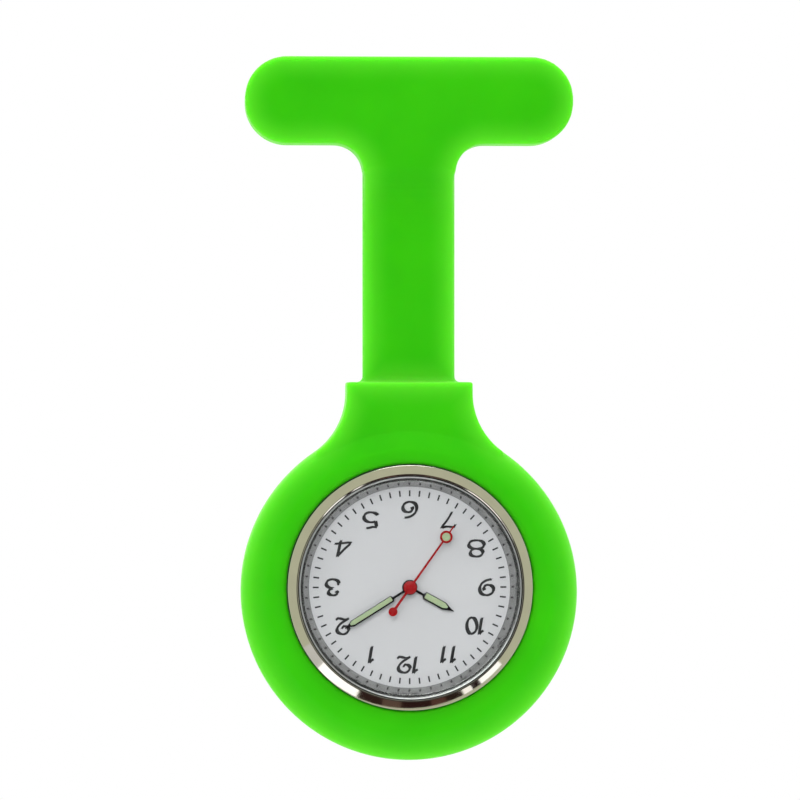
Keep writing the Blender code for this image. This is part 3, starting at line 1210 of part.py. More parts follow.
def movement(finishes, head, axes):
    plastic, steel = finishes["white_plastic"], finishes["tool_steel"]
    bearing = math.atan2(axes["rotor"][1], axes["rotor"][0])
    rotor_out = math.hypot(*axes["rotor"])
    coil_ends = [coil_point(bearing, side * COIL_HALF, COIL_OFFSET) for side in (-1, 1)]

    lever_posts = [
        (-GROOVE_AT, LEVER_PIVOT_Y),
        (-CLUTCH_START - CLUTCH_LENGTH / 2, YOKE_PIVOT_Y),
    ]
    holes = [circle(CANNON_RADIUS + 2 * SEAT_GAP, 16)]
    holes += [circle(PIVOT_HOLE, FINE_SIDES, axes[name]) for name in ("third", "fifth", "rotor")]
    holes.append(circle(ARBOR_RADIUS + RUN_CLEARANCE, FINE_SIDES, axes["setting"]))
    holes += [circle(SCREW_HOLE, FINE_SIDES, at) for at in coil_ends]
    main = piece(
        "main_plate",
        plate(circle(MOVEMENT_RADIUS, ROUND_SIDES), holes, MAIN_LEVEL, MAIN_TOP),
        plastic,
        head,
    )
    for i, at in enumerate(lever_posts):
        post = rod(POST_RADIUS, LEVER_LEVEL - BURY, MAIN_LEVEL + BURY, FINE_SIDES)
        boolean(main, "UNION", piece(f"lever_post_{i}", post, plastic, head, (*at, 0)))
    post = rod(POST_RADIUS, MAIN_TOP - BURY, MAIN_TOP + MINUTE_POST_TOP, FINE_SIDES)
    boolean(main, "UNION", piece("minute_post", post, plastic, head, (*axes["minute"], 0)))
    for i, (at, low) in enumerate(
        [(at, BRIDGE_TOP + SEAT_GAP) for at in PILLARS] + [(CLAMP_PILLAR, BATTERY_LEVEL)]
    ):
        pillar = rod(PILLAR_RADIUS, low, MAIN_LEVEL + BURY, FINE_SIDES)
        boolean(main, "UNION", piece(f"pillar_{i}", pillar, plastic, head, (*at, 0)))
        drill = rod(SCREW_HOLE, low - BURY, MAIN_TOP + BURY, FINE_SIDES)
        boolean(main, "DIFFERENCE", piece(f"drill_{i}", drill, plastic, head, (*at, 0)))

    outline = [(x * MM, y * MM) for x, y in BRIDGE_OUTLINE]
    holes = [circle(PIVOT_HOLE, FINE_SIDES)]
    holes += [circle(PIVOT_HOLE, FINE_SIDES, axes[name]) for name in ("third", "fifth", "rotor")]
    holes += [circle(SCREW_HOLE, FINE_SIDES, at) for at in PILLARS]
    piece("train_bridge", plate(outline, holes, BRIDGE_LEVEL, BRIDGE_TOP), finishes["nickel"], head)
    names = ("bridge_screw_low", "bridge_screw_right", "bridge_screw_top")
    for name, at in zip(names, PILLARS):
        screw(name, at, BRIDGE_LEVEL - SCREW_HEAD_THICK - SEAT_GAP, MAIN_LEVEL, finishes, head)

    # the coil: a flat core with a winding round it, its ends under the stator's
    core_low = COIL_LEVEL - CORE_THICK / 2
    core_high = COIL_LEVEL + CORE_THICK / 2
    wing = COIL_HALF + CORE_OVERHANG

    def core_outline(side):
        corners = ((-wing, -side), (wing, -side), (wing, side), (-wing, side))
        return [coil_point(bearing, along, COIL_OFFSET + out) for along, out in corners]

    core_holes = [circle(SCREW_HOLE, FINE_SIDES, at) for at in coil_ends]
    core = plate(core_outline(CORE_WIDTH / 2), core_holes, core_low, core_high)
    piece("coil_core", core, finishes["silicon_iron"], head)
    spool = turned(
        [
            (0, -COIL_LENGTH / 2),
            (COIL_RADIUS, -COIL_LENGTH / 2),
            (COIL_RADIUS, COIL_LENGTH / 2),
            (0, COIL_LENGTH / 2),
        ],
        20,
    )
    at = coil_point(bearing, 0, COIL_OFFSET)
    # the spool's own axis turns to lie along the coil
    lie = (Matrix.Rotation(bearing + TAU / 4, 3, "Z") @ Matrix.Rotation(TAU / 4, 3, "Y")).to_euler()
    winding = piece("coil_winding", spool, finishes["copper"], head, (*at, COIL_LEVEL), lie)
    slot = plate(core_outline(CORE_WIDTH / 2 + CORE_FIT), [], core_low - CORE_FIT, core_high + CORE_FIT)
    boolean(winding, "DIFFERENCE", piece("core_slot", slot, steel, head))

    root_half, root_drop = STATOR_ROOT
    crown_half, crown_rise = STATOR_CROWN
    half_outline = [
        (root_half, rotor_out - root_drop),
        (wing, COIL_OFFSET - STATOR_IN),
        (wing, COIL_OFFSET + STATOR_OUT),
        (wing - STATOR_WING, COIL_OFFSET + STATOR_OUT),
        (wing - STATOR_WING, COIL_OFFSET - STATOR_NOTCH),
        (crown_half, rotor_out + crown_rise),
    ]
    half_outline += [(-along, out) for along, out in reversed(half_outline)]
    stator_outline = [coil_point(bearing, along, out) for along, out in half_outline]
    stator_holes = [circle(STATOR_HOLE, 24, axes["rotor"])]
    stator_holes += [circle(SCREW_HOLE, FINE_SIDES, end) for end in coil_ends]
    stator = plate(stator_outline, stator_holes, core_high + SEAT_GAP, core_high + SEAT_GAP + STATOR_THICK)
    piece("stator", stator, finishes["silicon_iron"], head)
    for name, end in zip(("coil_screw_left", "coil_screw_right"), coil_ends):
        screw(name, end, BOARD_LEVEL - SCREW_HEAD_THICK - SEAT_GAP, MAIN_TOP - PIVOT_INSET, finishes, head)

    side = COIL_HALF + BOARD_SIDE
    crown_half, crown_out = BOARD_CROWN
    half_outline = [
        (side, COIL_OFFSET - BOARD_IN),
        (side, COIL_OFFSET + BOARD_OUT),
        (crown_half, COIL_OFFSET + crown_out),
    ]
    half_outline += [(-along, out) for along, out in reversed(half_outline)]
    board_outline = [coil_point(bearing, along, out) for along, out in half_outline]
    board_holes = [circle(SCREW_HOLE, FINE_SIDES, end) for end in coil_ends]
    board = plate(board_outline, board_holes, BOARD_LEVEL, BOARD_LEVEL + BOARD_THICK)
    piece("circuit_board", board, finishes["board_green"], head)
    half = CHIP_SIZE / 2
    chip_at = coil_point(bearing, 0, COIL_OFFSET + CHIP_OUT)
    chip_top = BOARD_LEVEL - SEAT_GAP
    chip_outline = [(-half, -half), (half, -half), (half, half), (-half, half)]
    chip = slab(chip_outline, chip_top - CHIP_THICK, chip_top, CHIP_EDGE, 1)
    piece("circuit_chip", chip, finishes["chip_black"], head, (*chip_at, 0), (0, 0, bearing))

    can = turned(
        [
            (0, -QUARTZ_LENGTH / 2),
            (QUARTZ_RADIUS, -QUARTZ_LENGTH / 2),
            (QUARTZ_RADIUS, QUARTZ_LENGTH / 2 - QUARTZ_EDGE),
            (QUARTZ_RADIUS - QUARTZ_EDGE, QUARTZ_LENGTH / 2),
            (0, QUARTZ_LENGTH / 2),
        ],
        18,
    )
    lie = (Matrix.Rotation(QUARTZ_BEARING, 3, "Z") @ Matrix.Rotation(TAU / 4, 3, "Y")).to_euler()
    level = MAIN_LEVEL - SEAT_GAP - QUARTZ_RADIUS
    piece("quartz_can", can, finishes["nickel"], head, (*QUARTZ_AT, level), lie)

    top = BATTERY_LEVEL + BATTERY_THICK
    cap_foot, cap_top, cap_height = BATTERY_CAP
    cell = turned(
        [
            (0, BATTERY_LEVEL),
            (BATTERY_RADIUS - BATTERY_EDGE, BATTERY_LEVEL),
            (BATTERY_RADIUS, BATTERY_LEVEL + BATTERY_EDGE),
            (BATTERY_RADIUS, top - cap_height),
            (BATTERY_RADIUS - cap_foot, top - cap_height),
            (BATTERY_RADIUS - cap_top, top),
            (0, top),
        ],
        ROUND_SIDES,
    )
    piece("battery", cell, finishes["nickel"], head, (*BATTERY_AT, 0))
    reach = math.dist(BATTERY_AT, CLAMP_PILLAR)
    lean = math.atan2(CLAMP_PILLAR[1] - BATTERY_AT[1], CLAMP_PILLAR[0] - BATTERY_AT[0])
    strip = arc((0, 0), CLAMP_RADIUS, 40, 320, 12) + arc((reach, 0), CLAMP_EYE, -90, 90, 6)
    clamp = plate(strip, [circle(SCREW_HOLE, FINE_SIDES, (reach, 0))], CLAMP_LEVEL, CLAMP_LEVEL + CLAMP_THICK)
    piece("battery_clamp", clamp, finishes["nickel"], head, (*BATTERY_AT, 0), (0, 0, lean))
    screw("clamp_screw", CLAMP_PILLAR, CLAMP_LEVEL - SEAT_GAP - CLAMP_SCREW_HEAD, MAIN_LEVEL, finishes, head)
    contact_low = top + CONTACT_GAP
    contact_outline = arc((0, 0), CONTACT_TIP, 60, 300, 8)
    contact_outline += [(CONTACT_REACH, -CONTACT_TIP), (CONTACT_REACH, CONTACT_TIP)]
    contact = plate(contact_outline, [], contact_low, contact_low + CONTACT_THICK)
    piece("battery_contact", contact, finishes["nickel"], head, (*BATTERY_AT, 0), (0, 0, TAU / 4))


def main():
    clear_scene()
    finishes = {
        "polished_steel": finish("polished_steel", (0.62, 0.62, 0.6), 0.08, 1.0),
        "brushed_steel": finish("brushed_steel", (0.55, 0.55, 0.54), 0.35, 1.0),
        "tool_steel": finish("tool_steel", (0.42, 0.43, 0.45), 0.25, 1.0),
        "nickel": finish("nickel", (0.66, 0.64, 0.58), 0.25, 1.0),
        "brass": finish("brass", (0.75, 0.55, 0.25), 0.25, 1.0),
        "copper": finish("copper", (0.7, 0.3, 0.12), 0.35, 1.0),
        "silicon_iron": finish("silicon_iron", (0.4, 0.4, 0.42), 0.4, 1.0),
        "dark_magnet": finish("dark_magnet", (0.08, 0.08, 0.09), 0.4, 0.6),
        "glass": finish("glass", (0.95, 0.98, 1.0), 0.02, 0.0, 0.25),
        "black_rubber": finish("black_rubber", (0.02, 0.02, 0.02), 0.6, 0.0),
        "dial_paint": finish("dial_paint", (0.62, 0.6, 0.62), 0.5, 0.0),
        "white_plastic": finish("white_plastic", (0.8, 0.8, 0.78), 0.45, 0.0),
        "black_paint": finish("black_paint", (0.01, 0.01, 0.01), 0.3, 0.0),
        "red_paint": finish("red_paint", (0.5, 0.01, 0.02), 0.3, 0.0),
        "board_green": finish("board_green", (0.03, 0.2, 0.08), 0.4, 0.0),
        "chip_black": finish("chip_black", (0.02, 0.02, 0.02), 0.35, 0.0),
    }
    silicone = finish("green_silicone", (0.05, 0.55, 0.01), 0.35, 0.0)
    quarter = math.radians(90)
    head = frame("watch_head", None, (0, -HEAD_DEPTH, DIAL_Z), (quarter, 0, 0))
    stem = frame("stem_axis", head, (0, 0, STEM_LEVEL), (0, -quarter, 0))
    upper_holder(silicone)
    lower_holder(silicone, head, stem)
    brooch(finishes["nickel"])
    case(finishes, head, stem)
    stem_works(finishes, head, stem)
    hands(finishes, head)
    axes = train(finishes, head)
    movement(finishes, head, axes)


main()
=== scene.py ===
"""Fob watch: the fine pieces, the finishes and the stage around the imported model, laid out as an add-on.

World frame: +Z up, the dial faces -Y, and the origin is the middle of the closed brooch needle.
Lengths are in metres, and "depth" is a distance in front of the needle, along -Y. The watch head has
its own frame on the dial's axis: x to the right and y up as seen from the front, and z ("level") from
the case back's outer face towards the glass.
"""

import math

import bmesh
import bpy
from bpy.props import FloatProperty, FloatVectorProperty, IntProperty, PointerProperty
from bpy.types import Operator, Panel, PropertyGroup
from mathutils import Matrix, Vector, kdtree


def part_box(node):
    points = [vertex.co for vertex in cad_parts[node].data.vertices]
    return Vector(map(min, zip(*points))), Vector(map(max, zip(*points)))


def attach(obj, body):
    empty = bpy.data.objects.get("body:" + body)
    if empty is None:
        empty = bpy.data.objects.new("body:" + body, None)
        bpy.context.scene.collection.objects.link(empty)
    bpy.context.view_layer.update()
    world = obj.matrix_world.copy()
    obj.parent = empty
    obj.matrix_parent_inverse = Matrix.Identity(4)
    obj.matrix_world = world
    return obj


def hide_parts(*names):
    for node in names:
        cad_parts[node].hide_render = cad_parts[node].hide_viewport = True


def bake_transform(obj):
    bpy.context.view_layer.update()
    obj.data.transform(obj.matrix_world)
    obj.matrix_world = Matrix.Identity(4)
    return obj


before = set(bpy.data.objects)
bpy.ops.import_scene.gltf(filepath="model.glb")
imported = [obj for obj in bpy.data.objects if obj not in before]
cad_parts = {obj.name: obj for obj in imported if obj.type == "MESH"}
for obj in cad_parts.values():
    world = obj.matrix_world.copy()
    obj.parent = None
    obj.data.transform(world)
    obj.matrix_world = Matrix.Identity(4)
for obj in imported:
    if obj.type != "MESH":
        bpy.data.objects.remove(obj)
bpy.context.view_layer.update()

bl_info = {
    "name": "Fob Watch Looks",
    "version": (1, 0, 0),
    "blender": (4, 5, 0),
    "location": "3D View > Sidebar > Fob Watch",
    "description": "Makes the fine pieces, finishes and stage of a silicone fob watch",
    "category": "Object",
}

MM = 0.001
TAU = 2 * math.pi
FINE = 192  # sides of a round piece on the dial's axis
SMALL = 48  # sides of a small round piece
WELD = 0.0005 * MM  # points nearer than this are one
HAND_EDGE = 0.03 * MM  # rounding of a hand's edges
# The skin's attribute below is the mask of a painted glow: its colour is made lighter near its outer sides,
# for light that comes through them and glances off them.
PAINTED_GLOW = "painted_edge_glow"  # attribute of the skin: 1 on its outer sides, 0 well inside them
GLOW_FADE = 1.5  # how steeply that falls off

# ---- places that the frame gives ----
BAR_LOW, BAR_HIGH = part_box("holder_upper")
RING_LOW, RING_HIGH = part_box("holder_lower")
BEZEL_LOW, BEZEL_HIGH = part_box("bezel")
CROWN_LOW, CROWN_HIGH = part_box("crown")
PLATE_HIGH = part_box("brooch_plate")[1]
HEAD_DEPTH = -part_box("case_back")[1].y
AXIS_Z = (BEZEL_LOW.z + BEZEL_HIGH.z) / 2
HEAD = Matrix.Translation((0, -HEAD_DEPTH, AXIS_Z)) @ Matrix.Rotation(TAU / 4, 4, "X")
FRONT = Matrix.Rotation(TAU / 4, 4, "X")


def radius_of(node):
    """Half the width of a round node."""
    low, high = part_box(node)
    return (high.x - low.x) / 2


def levels_of(node):
    """The levels in the watch head of a node's foot and top."""
    low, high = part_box(node)
    return -high.y - HEAD_DEPTH, -low.y - HEAD_DEPTH


RING_RADIUS = radius_of("holder_lower")
RING_Z = RING_LOW.z + RING_RADIUS
BEZEL_RADIUS = radius_of("bezel")
GLASS_RADIUS = radius_of("crystal")
DIAL_RADIUS = radius_of("dial")
BACK_RADIUS = radius_of("case_back")
CASE_RADIUS = radius_of("case_middle")
BEZEL_FOOT, BEZEL_TOP = levels_of("bezel")
GLASS_FOOT, GLASS_TOP = levels_of("crystal")
SEAL_FOOT, SEAL_TOP = levels_of("crystal_gasket")
DIAL_FOOT, DIAL_TOP = levels_of("dial")
WALL_FOOT, WALL_TOP = levels_of("rehaut_ring")
CASE_FOOT, CASE_TOP = levels_of("case_middle")


def length(title, text, default):
    return FloatProperty(name=title, description=text, default=default, subtype="DISTANCE", unit="LENGTH")


def tint(title, text, default):
    return FloatVectorProperty(
        name=title, description=text, default=default, size=3, min=0.0, max=1.0, subtype="COLOR"
    )


def turn(title, text, degrees):
    return FloatProperty(name=title, description=text, default=math.radians(degrees), subtype="ANGLE")


# ---------------------------------------------------------------- settings
class SkinSettings(PropertyGroup):
    """Sizes and colour of the silicone moulding."""

    colour: tint("Colour", "Colour of the silicone", (0.038, 0.5, 0.001))
    deep_colour: tint("Deep colour", "Colour of its darker clouds", (0.031, 0.46, 0.001))
    # Painted glow: the outer sides get a lighter green, painted for the light that comes through and glances
    # off them; the reach sets how far inwards it goes.
    edge_colour: tint("Edge colour", "Colour of the thin edges that light comes through", (0.1, 0.59, 0.017))
    edge_reach: length("Edge reach", "How far the lighter edges reach inwards", 3.3 * MM)
    bar_edge: length("Bar edge", "Rounding of the T-bar's rim", 1.8 * MM)
    bar_fillet: length("Bar fillet", "Rounding between the T-bar and the strap", 3.6 * MM)
    end_flat: length("End flat", "Straight part of each end of the T-bar", 0.5 * MM)
    strap_width: length("Strap width", "Width of the strap", 11.6 * MM)
    strap_thick: length("Strap thickness", "Thickness of the strap", 2.8 * MM)
    strap_back: length("Strap back", "Depth of the strap's back", 2.4 * MM)
    strap_edge: length("Strap edge", "Rounding of the strap's edges", 1.2 * MM)
    step_z: length("Step", "Height of the step between the strap and the collar", -35.25 * MM)
    collar_width: length("Collar width", "Width of the collar at its step", 15.75 * MM)
    collar_flare: length("Collar flare", "Radius of the flare from the collar to the ring", 9.0 * MM)
    collar_back: length("Collar back", "Depth of the collar's back", 1.2 * MM)
    collar_thick: length("Collar thickness", "Thickness of the collar", 6.3 * MM)
    collar_edge: length("Collar edge", "Rounding of the collar's rim", 0.8 * MM)
    rim_round: length("Rim rounding", "Rounding of the ring's front rim", 2.0 * MM)
    back_round: length("Back rounding", "Rounding of the ring's back rim", 1.1 * MM)
    lip_gap: length("Lip gap", "Gap between the silicone and the bezel", 0.12 * MM)
    voxel: length("Grain", "Size of the moulding's finest detail", 0.27 * MM)
    bend_start: length("Bend start", "Height at which the strap starts to bend", -14.35 * MM)
    bend_end: length("Bend end", "Height at which the strap's bend ends", -26.35 * MM)


class HeadSettings(PropertyGroup):
    """Sizes of the bezel, the glass and the dial."""

    bezel_bore: length("Bezel bore", "Radius of the bezel's opening", 14.0 * MM)
    bezel_slope: length("Bezel slope", "How far the bezel's polished face falls", 0.62 * MM)
    bezel_crest: length("Bezel crest", "Width of the rounded inner edge of the bezel", 0.18 * MM)
    neck_radius: length("Neck radius", "Radius of the case's neck inside the bezel", 14.75 * MM)
    glass_bevel: length("Glass bevel", "Width of the glass's ground edge", 0.16 * MM)
    wall_foot: length("Wall foot", "Radius of the polished wall's foot", 12.5 * MM)
    wall_top: length("Wall top", "Radius of the polished wall's top", 13.3 * MM)
    dial_colour: tint("Dial colour", "Colour of the dial's lacquer", (0.52, 0.515, 0.53))
    ink_colour: tint("Ink colour", "Colour of the dial's print", (0.006, 0.006, 0.007))
    ink: length("Ink thickness", "Thickness of the dial's print", 0.012 * MM)
    tick_count: IntProperty(name="Ticks", description="Minute marks round the dial", default=60, min=12)
    tick_radius: length("Tick radius", "Radius of the middle of the minute marks", 11.67 * MM)
    tick_length: length("Tick length", "Length of a minute mark", 0.75 * MM)
    tick_width: length("Tick width", "Width of a minute mark", 0.2 * MM)
    numeral_radius: length("Numeral radius", "Radius of the numerals' middles", 9.6 * MM)
    numeral_height: length("Numeral height", "Height of a numeral", 2.02 * MM)
    pen_broad: length("Pen width", "Broad width of the pen that draws the numerals", 0.48 * MM)
    pen_thin: length("Pen thickness", "Thin width of the pen that draws the numerals", 0.3 * MM)
    pen_angle: turn("Pen angle", "Slant of the pen's broad edge", 28)


class HandSettings(PropertyGroup):
    """Sizes, colours and reading of the hands."""

    hour_angle: turn("Hour hand", "Hour hand's turn from twelve, clockwise", 298.7)
    minute_angle: turn("Minute hand", "Minute hand's turn from twelve, clockwise", 57.9)
    second_angle: turn("Second hand", "Second hand's turn from twelve, clockwise", 215.5)
    thick: length("Hand thickness", "Thickness of a hand", 0.15 * MM)
    hour_length: length("Hour length", "Length of the hour hand", 6.26 * MM)
    hour_width: length("Hour width", "Width of the hour hand", 1.0 * MM)
    minute_length: length("Minute length", "Length of the minute hand", 9.55 * MM)
    minute_width: length("Minute width", "Width of the minute hand", 0.85 * MM)
    second_length: length("Second length", "Length of the second hand", 9.37 * MM)
    second_width: length("Second width", "Width of the second hand", 0.3 * MM)
    second_tail: length("Second tail", "Distance of the counterweight from the axis", 3.68 * MM)
    second_hub: length("Second hub", "Radius of the second hand's cap", 0.83 * MM)
    second_weight: length("Second weight", "Radius of the counterweight", 0.56 * MM)
    sight_at: length("Sight", "Distance of the second hand's ring from the axis", 7.74 * MM)
    sight_radius: length("Sight radius", "Outer radius of the second hand's ring", 0.79 * MM)
    sight_bore: length("Sight bore", "Inner radius of the second hand's ring", 0.52 * MM)
    lume_colour: tint("Lume", "Colour of the luminous fill", (0.35, 0.43, 0.255))
    red_colour: tint("Red", "Colour of the second hand", (0.3, 0.0, 0.002))


class StageSettings(PropertyGroup):
    """Camera, light and floor."""

    distance: length("Camera distance", "Distance of the camera from the dial's plane", 500 * MM)
    field: length("Field", "Height that the camera takes in", 100 * MM)
    aim_x: length("Aim across", "Sideways place that the camera looks at", -1.2 * MM)
    aim_z: length("Aim height", "Height that the camera looks at", -37.5 * MM)
    azimuth: turn("Azimuth", "Turn of the camera about the vertical", -3)
    sky: FloatProperty(name="Sky", description="Strength of the even light all round", default=0.8, min=0)
    lamp: FloatProperty(name="Lamp", description="Power of the overhead softbox in watts", default=0.9, min=0)
    floor_drop: length("Floor drop", "Distance of the floor below the watch", 45 * MM)


# ---------------------------------------------------------------- shapes
def arc(centre, radius, start, end, steps):
    """Points from one angle in degrees to another, both included."""
    angles = [math.radians(start + (end - start) * i / steps) for i in range(steps + 1)]
    return [(centre[0] + radius * math.cos(a), centre[1] + radius * math.sin(a)) for a in angles]


def circle(radius, sides):
    return arc((0, 0), radius, 0, 360 - 360 / sides, sides - 1)


def mirrored(points):
    """The other side of an outline, in the order that carries it on."""
    return [(-x, y) for x, y in reversed(points)]


def rounded(corners, steps=5):
    """An outline whose corners (x, y, radius) are rounded."""
    points = []
    for i, (x, y, radius) in enumerate(corners):
        here = Vector((x, y))
        before = Vector(corners[i - 1][:2]) - here
        after = Vector(corners[(i + 1) % len(corners)][:2]) - here
        if radius == 0:
            points.append((x, y))
            continue
        half = before.angle(after) / 2
        middle = here + (before.normalized() + after.normalized()).normalized() * (radius / math.sin(half))
        reach = radius / math.tan(half)
        first = (here + before.normalized() * reach - middle).normalized()
        last = (here + after.normalized() * reach - middle).normalized()
        for k in range(steps + 1):
            points.append(tuple(middle + first.slerp(last, k / steps) * radius))
    return points


def lathe(outline, sides=FINE):
    """A solid of revolution about z from (radius, height) points; it may start and end on the axis."""
    bm = bmesh.new()
    verts = [bm.verts.new((radius, 0, height)) for radius, height in outline]
    edges = [bm.edges.new(pair) for pair in zip(verts, verts[1:])]
    if outline[0][0] > 0 or outline[-1][0] > 0:
        edges.append(bm.edges.new((verts[-1], verts[0])))
    bmesh.ops.spin(
        bm, geom=verts + edges, cent=(0, 0, 0), axis=(0, 0, 1), angle=TAU, steps=sides, use_merge=True
    )
    bmesh.ops.remove_doubles(bm, verts=bm.verts, dist=WELD)
    return bm


def tube(inner, outer, low, high):
    """A small tube, or a rod where the inner radius is 0."""
    return lathe([(inner, low), (outer, low), (outer, high), (inner, high)], SMALL)


def plate(outline, holes, low, high):
    """A flat plate between two levels, with holes through it."""
    bm = bmesh.new()
    for loop in [outline, *holes]:
        verts = [bm.verts.new((x, y, low)) for x, y in loop]
        for a, b in zip(verts, verts[1:] + verts[:1]):
            bm.edges.new((a, b))
    filled = bmesh.ops.triangle_fill(bm, use_beauty=True, edges=bm.edges[:])
    faces = [f for f in filled["geom"] if isinstance(f, bmesh.types.BMFace)]
    raise_faces(bm, faces, high - low)
    return bm


def raise_faces(bm, faces, height):
    raised = bmesh.ops.extrude_face_region(bm, geom=faces)
    verts = [v for v in raised["geom"] if isinstance(v, bmesh.types.BMVert)]
    bmesh.ops.translate(bm, vec=(0, 0, height), verts=verts)


def round_edges(bm, edges, offset, segments):
    bmesh.ops.bevel(
        bm,
        geom=edges,
        offset=offset,
        segments=segments,
        profile=0.5,
        affect="EDGES",
        clamp_overlap=True,
        material=-1,
    )


def soften(bm, offset, segments=2, angle=40, only=None):
    """Rounds the edges where faces meet at more than an angle in degrees."""
    bmesh.ops.recalc_face_normals(bm, faces=bm.faces)
    sharp = [
        e
        for e in bm.edges
        if len(e.link_faces) == 2
        and e.calc_face_angle() > math.radians(angle)
        and (only is None or only(e))
    ]
    round_edges(bm, sharp, offset, segments)
    return bm


def block(low, high):
    bm = bmesh.new()
    bmesh.ops.create_cube(bm, size=1)
    bmesh.ops.scale(bm, vec=[b - a for a, b in zip(low, high)], verts=bm.verts)
    bmesh.ops.translate(bm, vec=[(a + b) / 2 for a, b in zip(low, high)], verts=bm.verts)
    return bm


def piece(name, bm, place=Matrix(), angle=35):
    """A named object whose place is in its mesh, shaded smooth except at its real edges."""
    bmesh.ops.recalc_face_normals(bm, faces=bm.faces)
    if bm.calc_volume(signed=True) < 0:
        bmesh.ops.reverse_faces(bm, faces=bm.faces)
    bm.transform(place)
    mesh = bpy.data.meshes.new(name)
    bm.to_mesh(mesh)
    bm.free()
    mesh.shade_smooth()
    mesh.set_sharp_from_angle(angle=math.radians(angle))
    obj = bpy.data.objects.new(name, mesh)
    bpy.context.scene.collection.objects.link(obj)
    return obj


def turned(name, corners, steps=5, place=HEAD, sides=FINE, angle=35):
    """A named piece turned about an axis from rounded corners (radius, level, rounding)."""
    return piece(name, lathe(rounded(corners, steps), sides), place, angle)


def combine(obj, operation, *helpers):
    """Queues the joining or the cutting of helpers."""
    for helper in helpers:
        modifier = obj.modifiers.new(helper.name, "BOOLEAN")
        modifier.operation = operation
        modifier.solver = "EXACT"
        modifier.object = helper


def settle(obj, angle=None):
    """Applies an object's modifiers and removes the helpers that they used."""
    helpers = [m.object for m in obj.modifiers if m.type == "BOOLEAN"]
    bpy.context.view_layer.update()
    graph = bpy.context.evaluated_depsgraph_get()
    mesh = bpy.data.meshes.new_from_object(obj.evaluated_get(graph))
    obj.modifiers.clear()
    obj.data = mesh
    for helper in helpers:
        bpy.data.objects.remove(helper, do_unlink=True)
    if angle is not None:
        mesh.shade_smooth()
        mesh.set_sharp_from_angle(angle=math.radians(angle))
    return obj


def dress(obj, body, slot, *finishes, replaces=()):
    """Gives a new piece its finishes and its body, and hides the nodes that it stands for; the slot argument
    is not used.
    """
    obj.data.materials.clear()
    for finish in finishes:
        obj.data.materials.append(finish)
    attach(obj, body)
    if replaces:
        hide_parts(*replaces)


# ---------------------------------------------------------------- finishes
def toned(colour, share):
    """A colour made darker or lighter by a share."""
    return tuple(c * share for c in colour)


class Wires:
    """A node tree being wired, with short ways to add nodes."""

    def __init__(self, tree):
        self.tree = tree

    def node(self, kind, **values):
        made = self.tree.nodes.new(kind)
        for key, value in values.items():
            setattr(made, key, value)
        return made

    def join(self, source, target):
        self.tree.links.new(source, target)

    def blend(self, share, first, second):
        """A colour between two colours or sockets."""
        made = self.node("ShaderNodeMix", data_type="RGBA")
        self.join(share, made.inputs["Factor"])
        for socket, value in ((made.inputs[6], first), (made.inputs[7], second)):
            if isinstance(value, bpy.types.NodeSocket):
                self.join(value, socket)
            else:
                socket.default_value = (*value, 1.0)
        return made.outputs[2]


class Finish(Wires):
    """A material being wired, with its shader."""

    def __init__(self, name, colour, roughness, metallic=0.0, specular=0.5):
        self.material = bpy.data.materials.new(name)
        self.material.use_nodes = True
        super().__init__(self.material.node_tree)
        self.shader = self.tree.nodes["Principled BSDF"]
        self.set("Base Color", (*colour, 1.0))
        self.set("Roughness", roughness)
        self.set("Metallic", metallic)
        self.set("Specular IOR Level", specular)
        self.place = self.node("ShaderNodeTexCoord").outputs["Object"]

    def set(self, socket, value):
        self.shader.inputs[socket].default_value = value

    def mapped(self, stretch=(1, 1, 1), centre=(0, 0, 0), lean=(0, 0, 0)):
        mapping = self.node("ShaderNodeMapping", vector_type="TEXTURE")
        mapping.inputs["Location"].default_value = centre
        mapping.inputs["Rotation"].default_value = lean
        mapping.inputs["Scale"].default_value = stretch
        self.join(self.place, mapping.inputs["Vector"])
        return mapping.outputs["Vector"]

    def noise(self, size, detail=3.0, vector=None):
        """Clouds whose features are about this size."""
        made = self.node("ShaderNodeTexNoise")
        made.inputs["Scale"].default_value = 1 / size
        made.inputs["Detail"].default_value = detail
        self.join(vector or self.place, made.inputs["Vector"])
        return made.outputs["Fac"]

    def circles(self, pitch, detail):
        """Fine lines round the watch's axis, about this far apart."""
        flat = self.node("ShaderNodeVectorMath", operation="MULTIPLY")
        self.join(self.mapped(centre=(0, 0, AXIS_Z)), flat.inputs[0])
        flat.inputs[1].default_value = (1, 0, 1)
        radius = self.node("ShaderNodeVectorMath", operation="LENGTH")
        self.join(flat.outputs["Vector"], radius.inputs[0])
        made = self.node("ShaderNodeTexNoise", noise_dimensions="1D")
        made.inputs["Scale"].default_value = 1 / pitch
        made.inputs["Detail"].default_value = detail
        self.join(radius.outputs["Value"], made.inputs["W"])
        return made.outputs["Fac"]

    def band(self, source, low, high, to_low=0.0, to_high=1.0):
        """Carries a range of one value to a range of another."""
        made = self.node("ShaderNodeMapRange")
        for key, value in (("From Min", low), ("From Max", high), ("To Min", to_low), ("To Max", to_high)):
            made.inputs[key].default_value = value
        self.join(source, made.inputs["Value"])
        return made.outputs["Result"]

    def colour(self, source):
        self.join(source, self.shader.inputs["Base Color"])

    def rough(self, source):
        self.join(source, self.shader.inputs["Roughness"])

    def uneven(self, size, detail, low, high):
        """Varies the roughness in clouds of about this size."""
        self.rough(self.band(self.noise(size, detail), 0.3, 0.7, low, high))

    def bump(self, height, distance, strength=1.0):
        """Adds relief on top of any that is there."""
        made = self.node("ShaderNodeBump")
        made.inputs["Strength"].default_value = strength
        made.inputs["Distance"].default_value = distance
        self.join(height, made.inputs["Height"])
        earlier = self.shader.inputs["Normal"]
        if earlier.is_linked:
            self.join(earlier.links[0].from_socket, made.inputs["Normal"])
        self.join(made.outputs["Normal"], earlier)


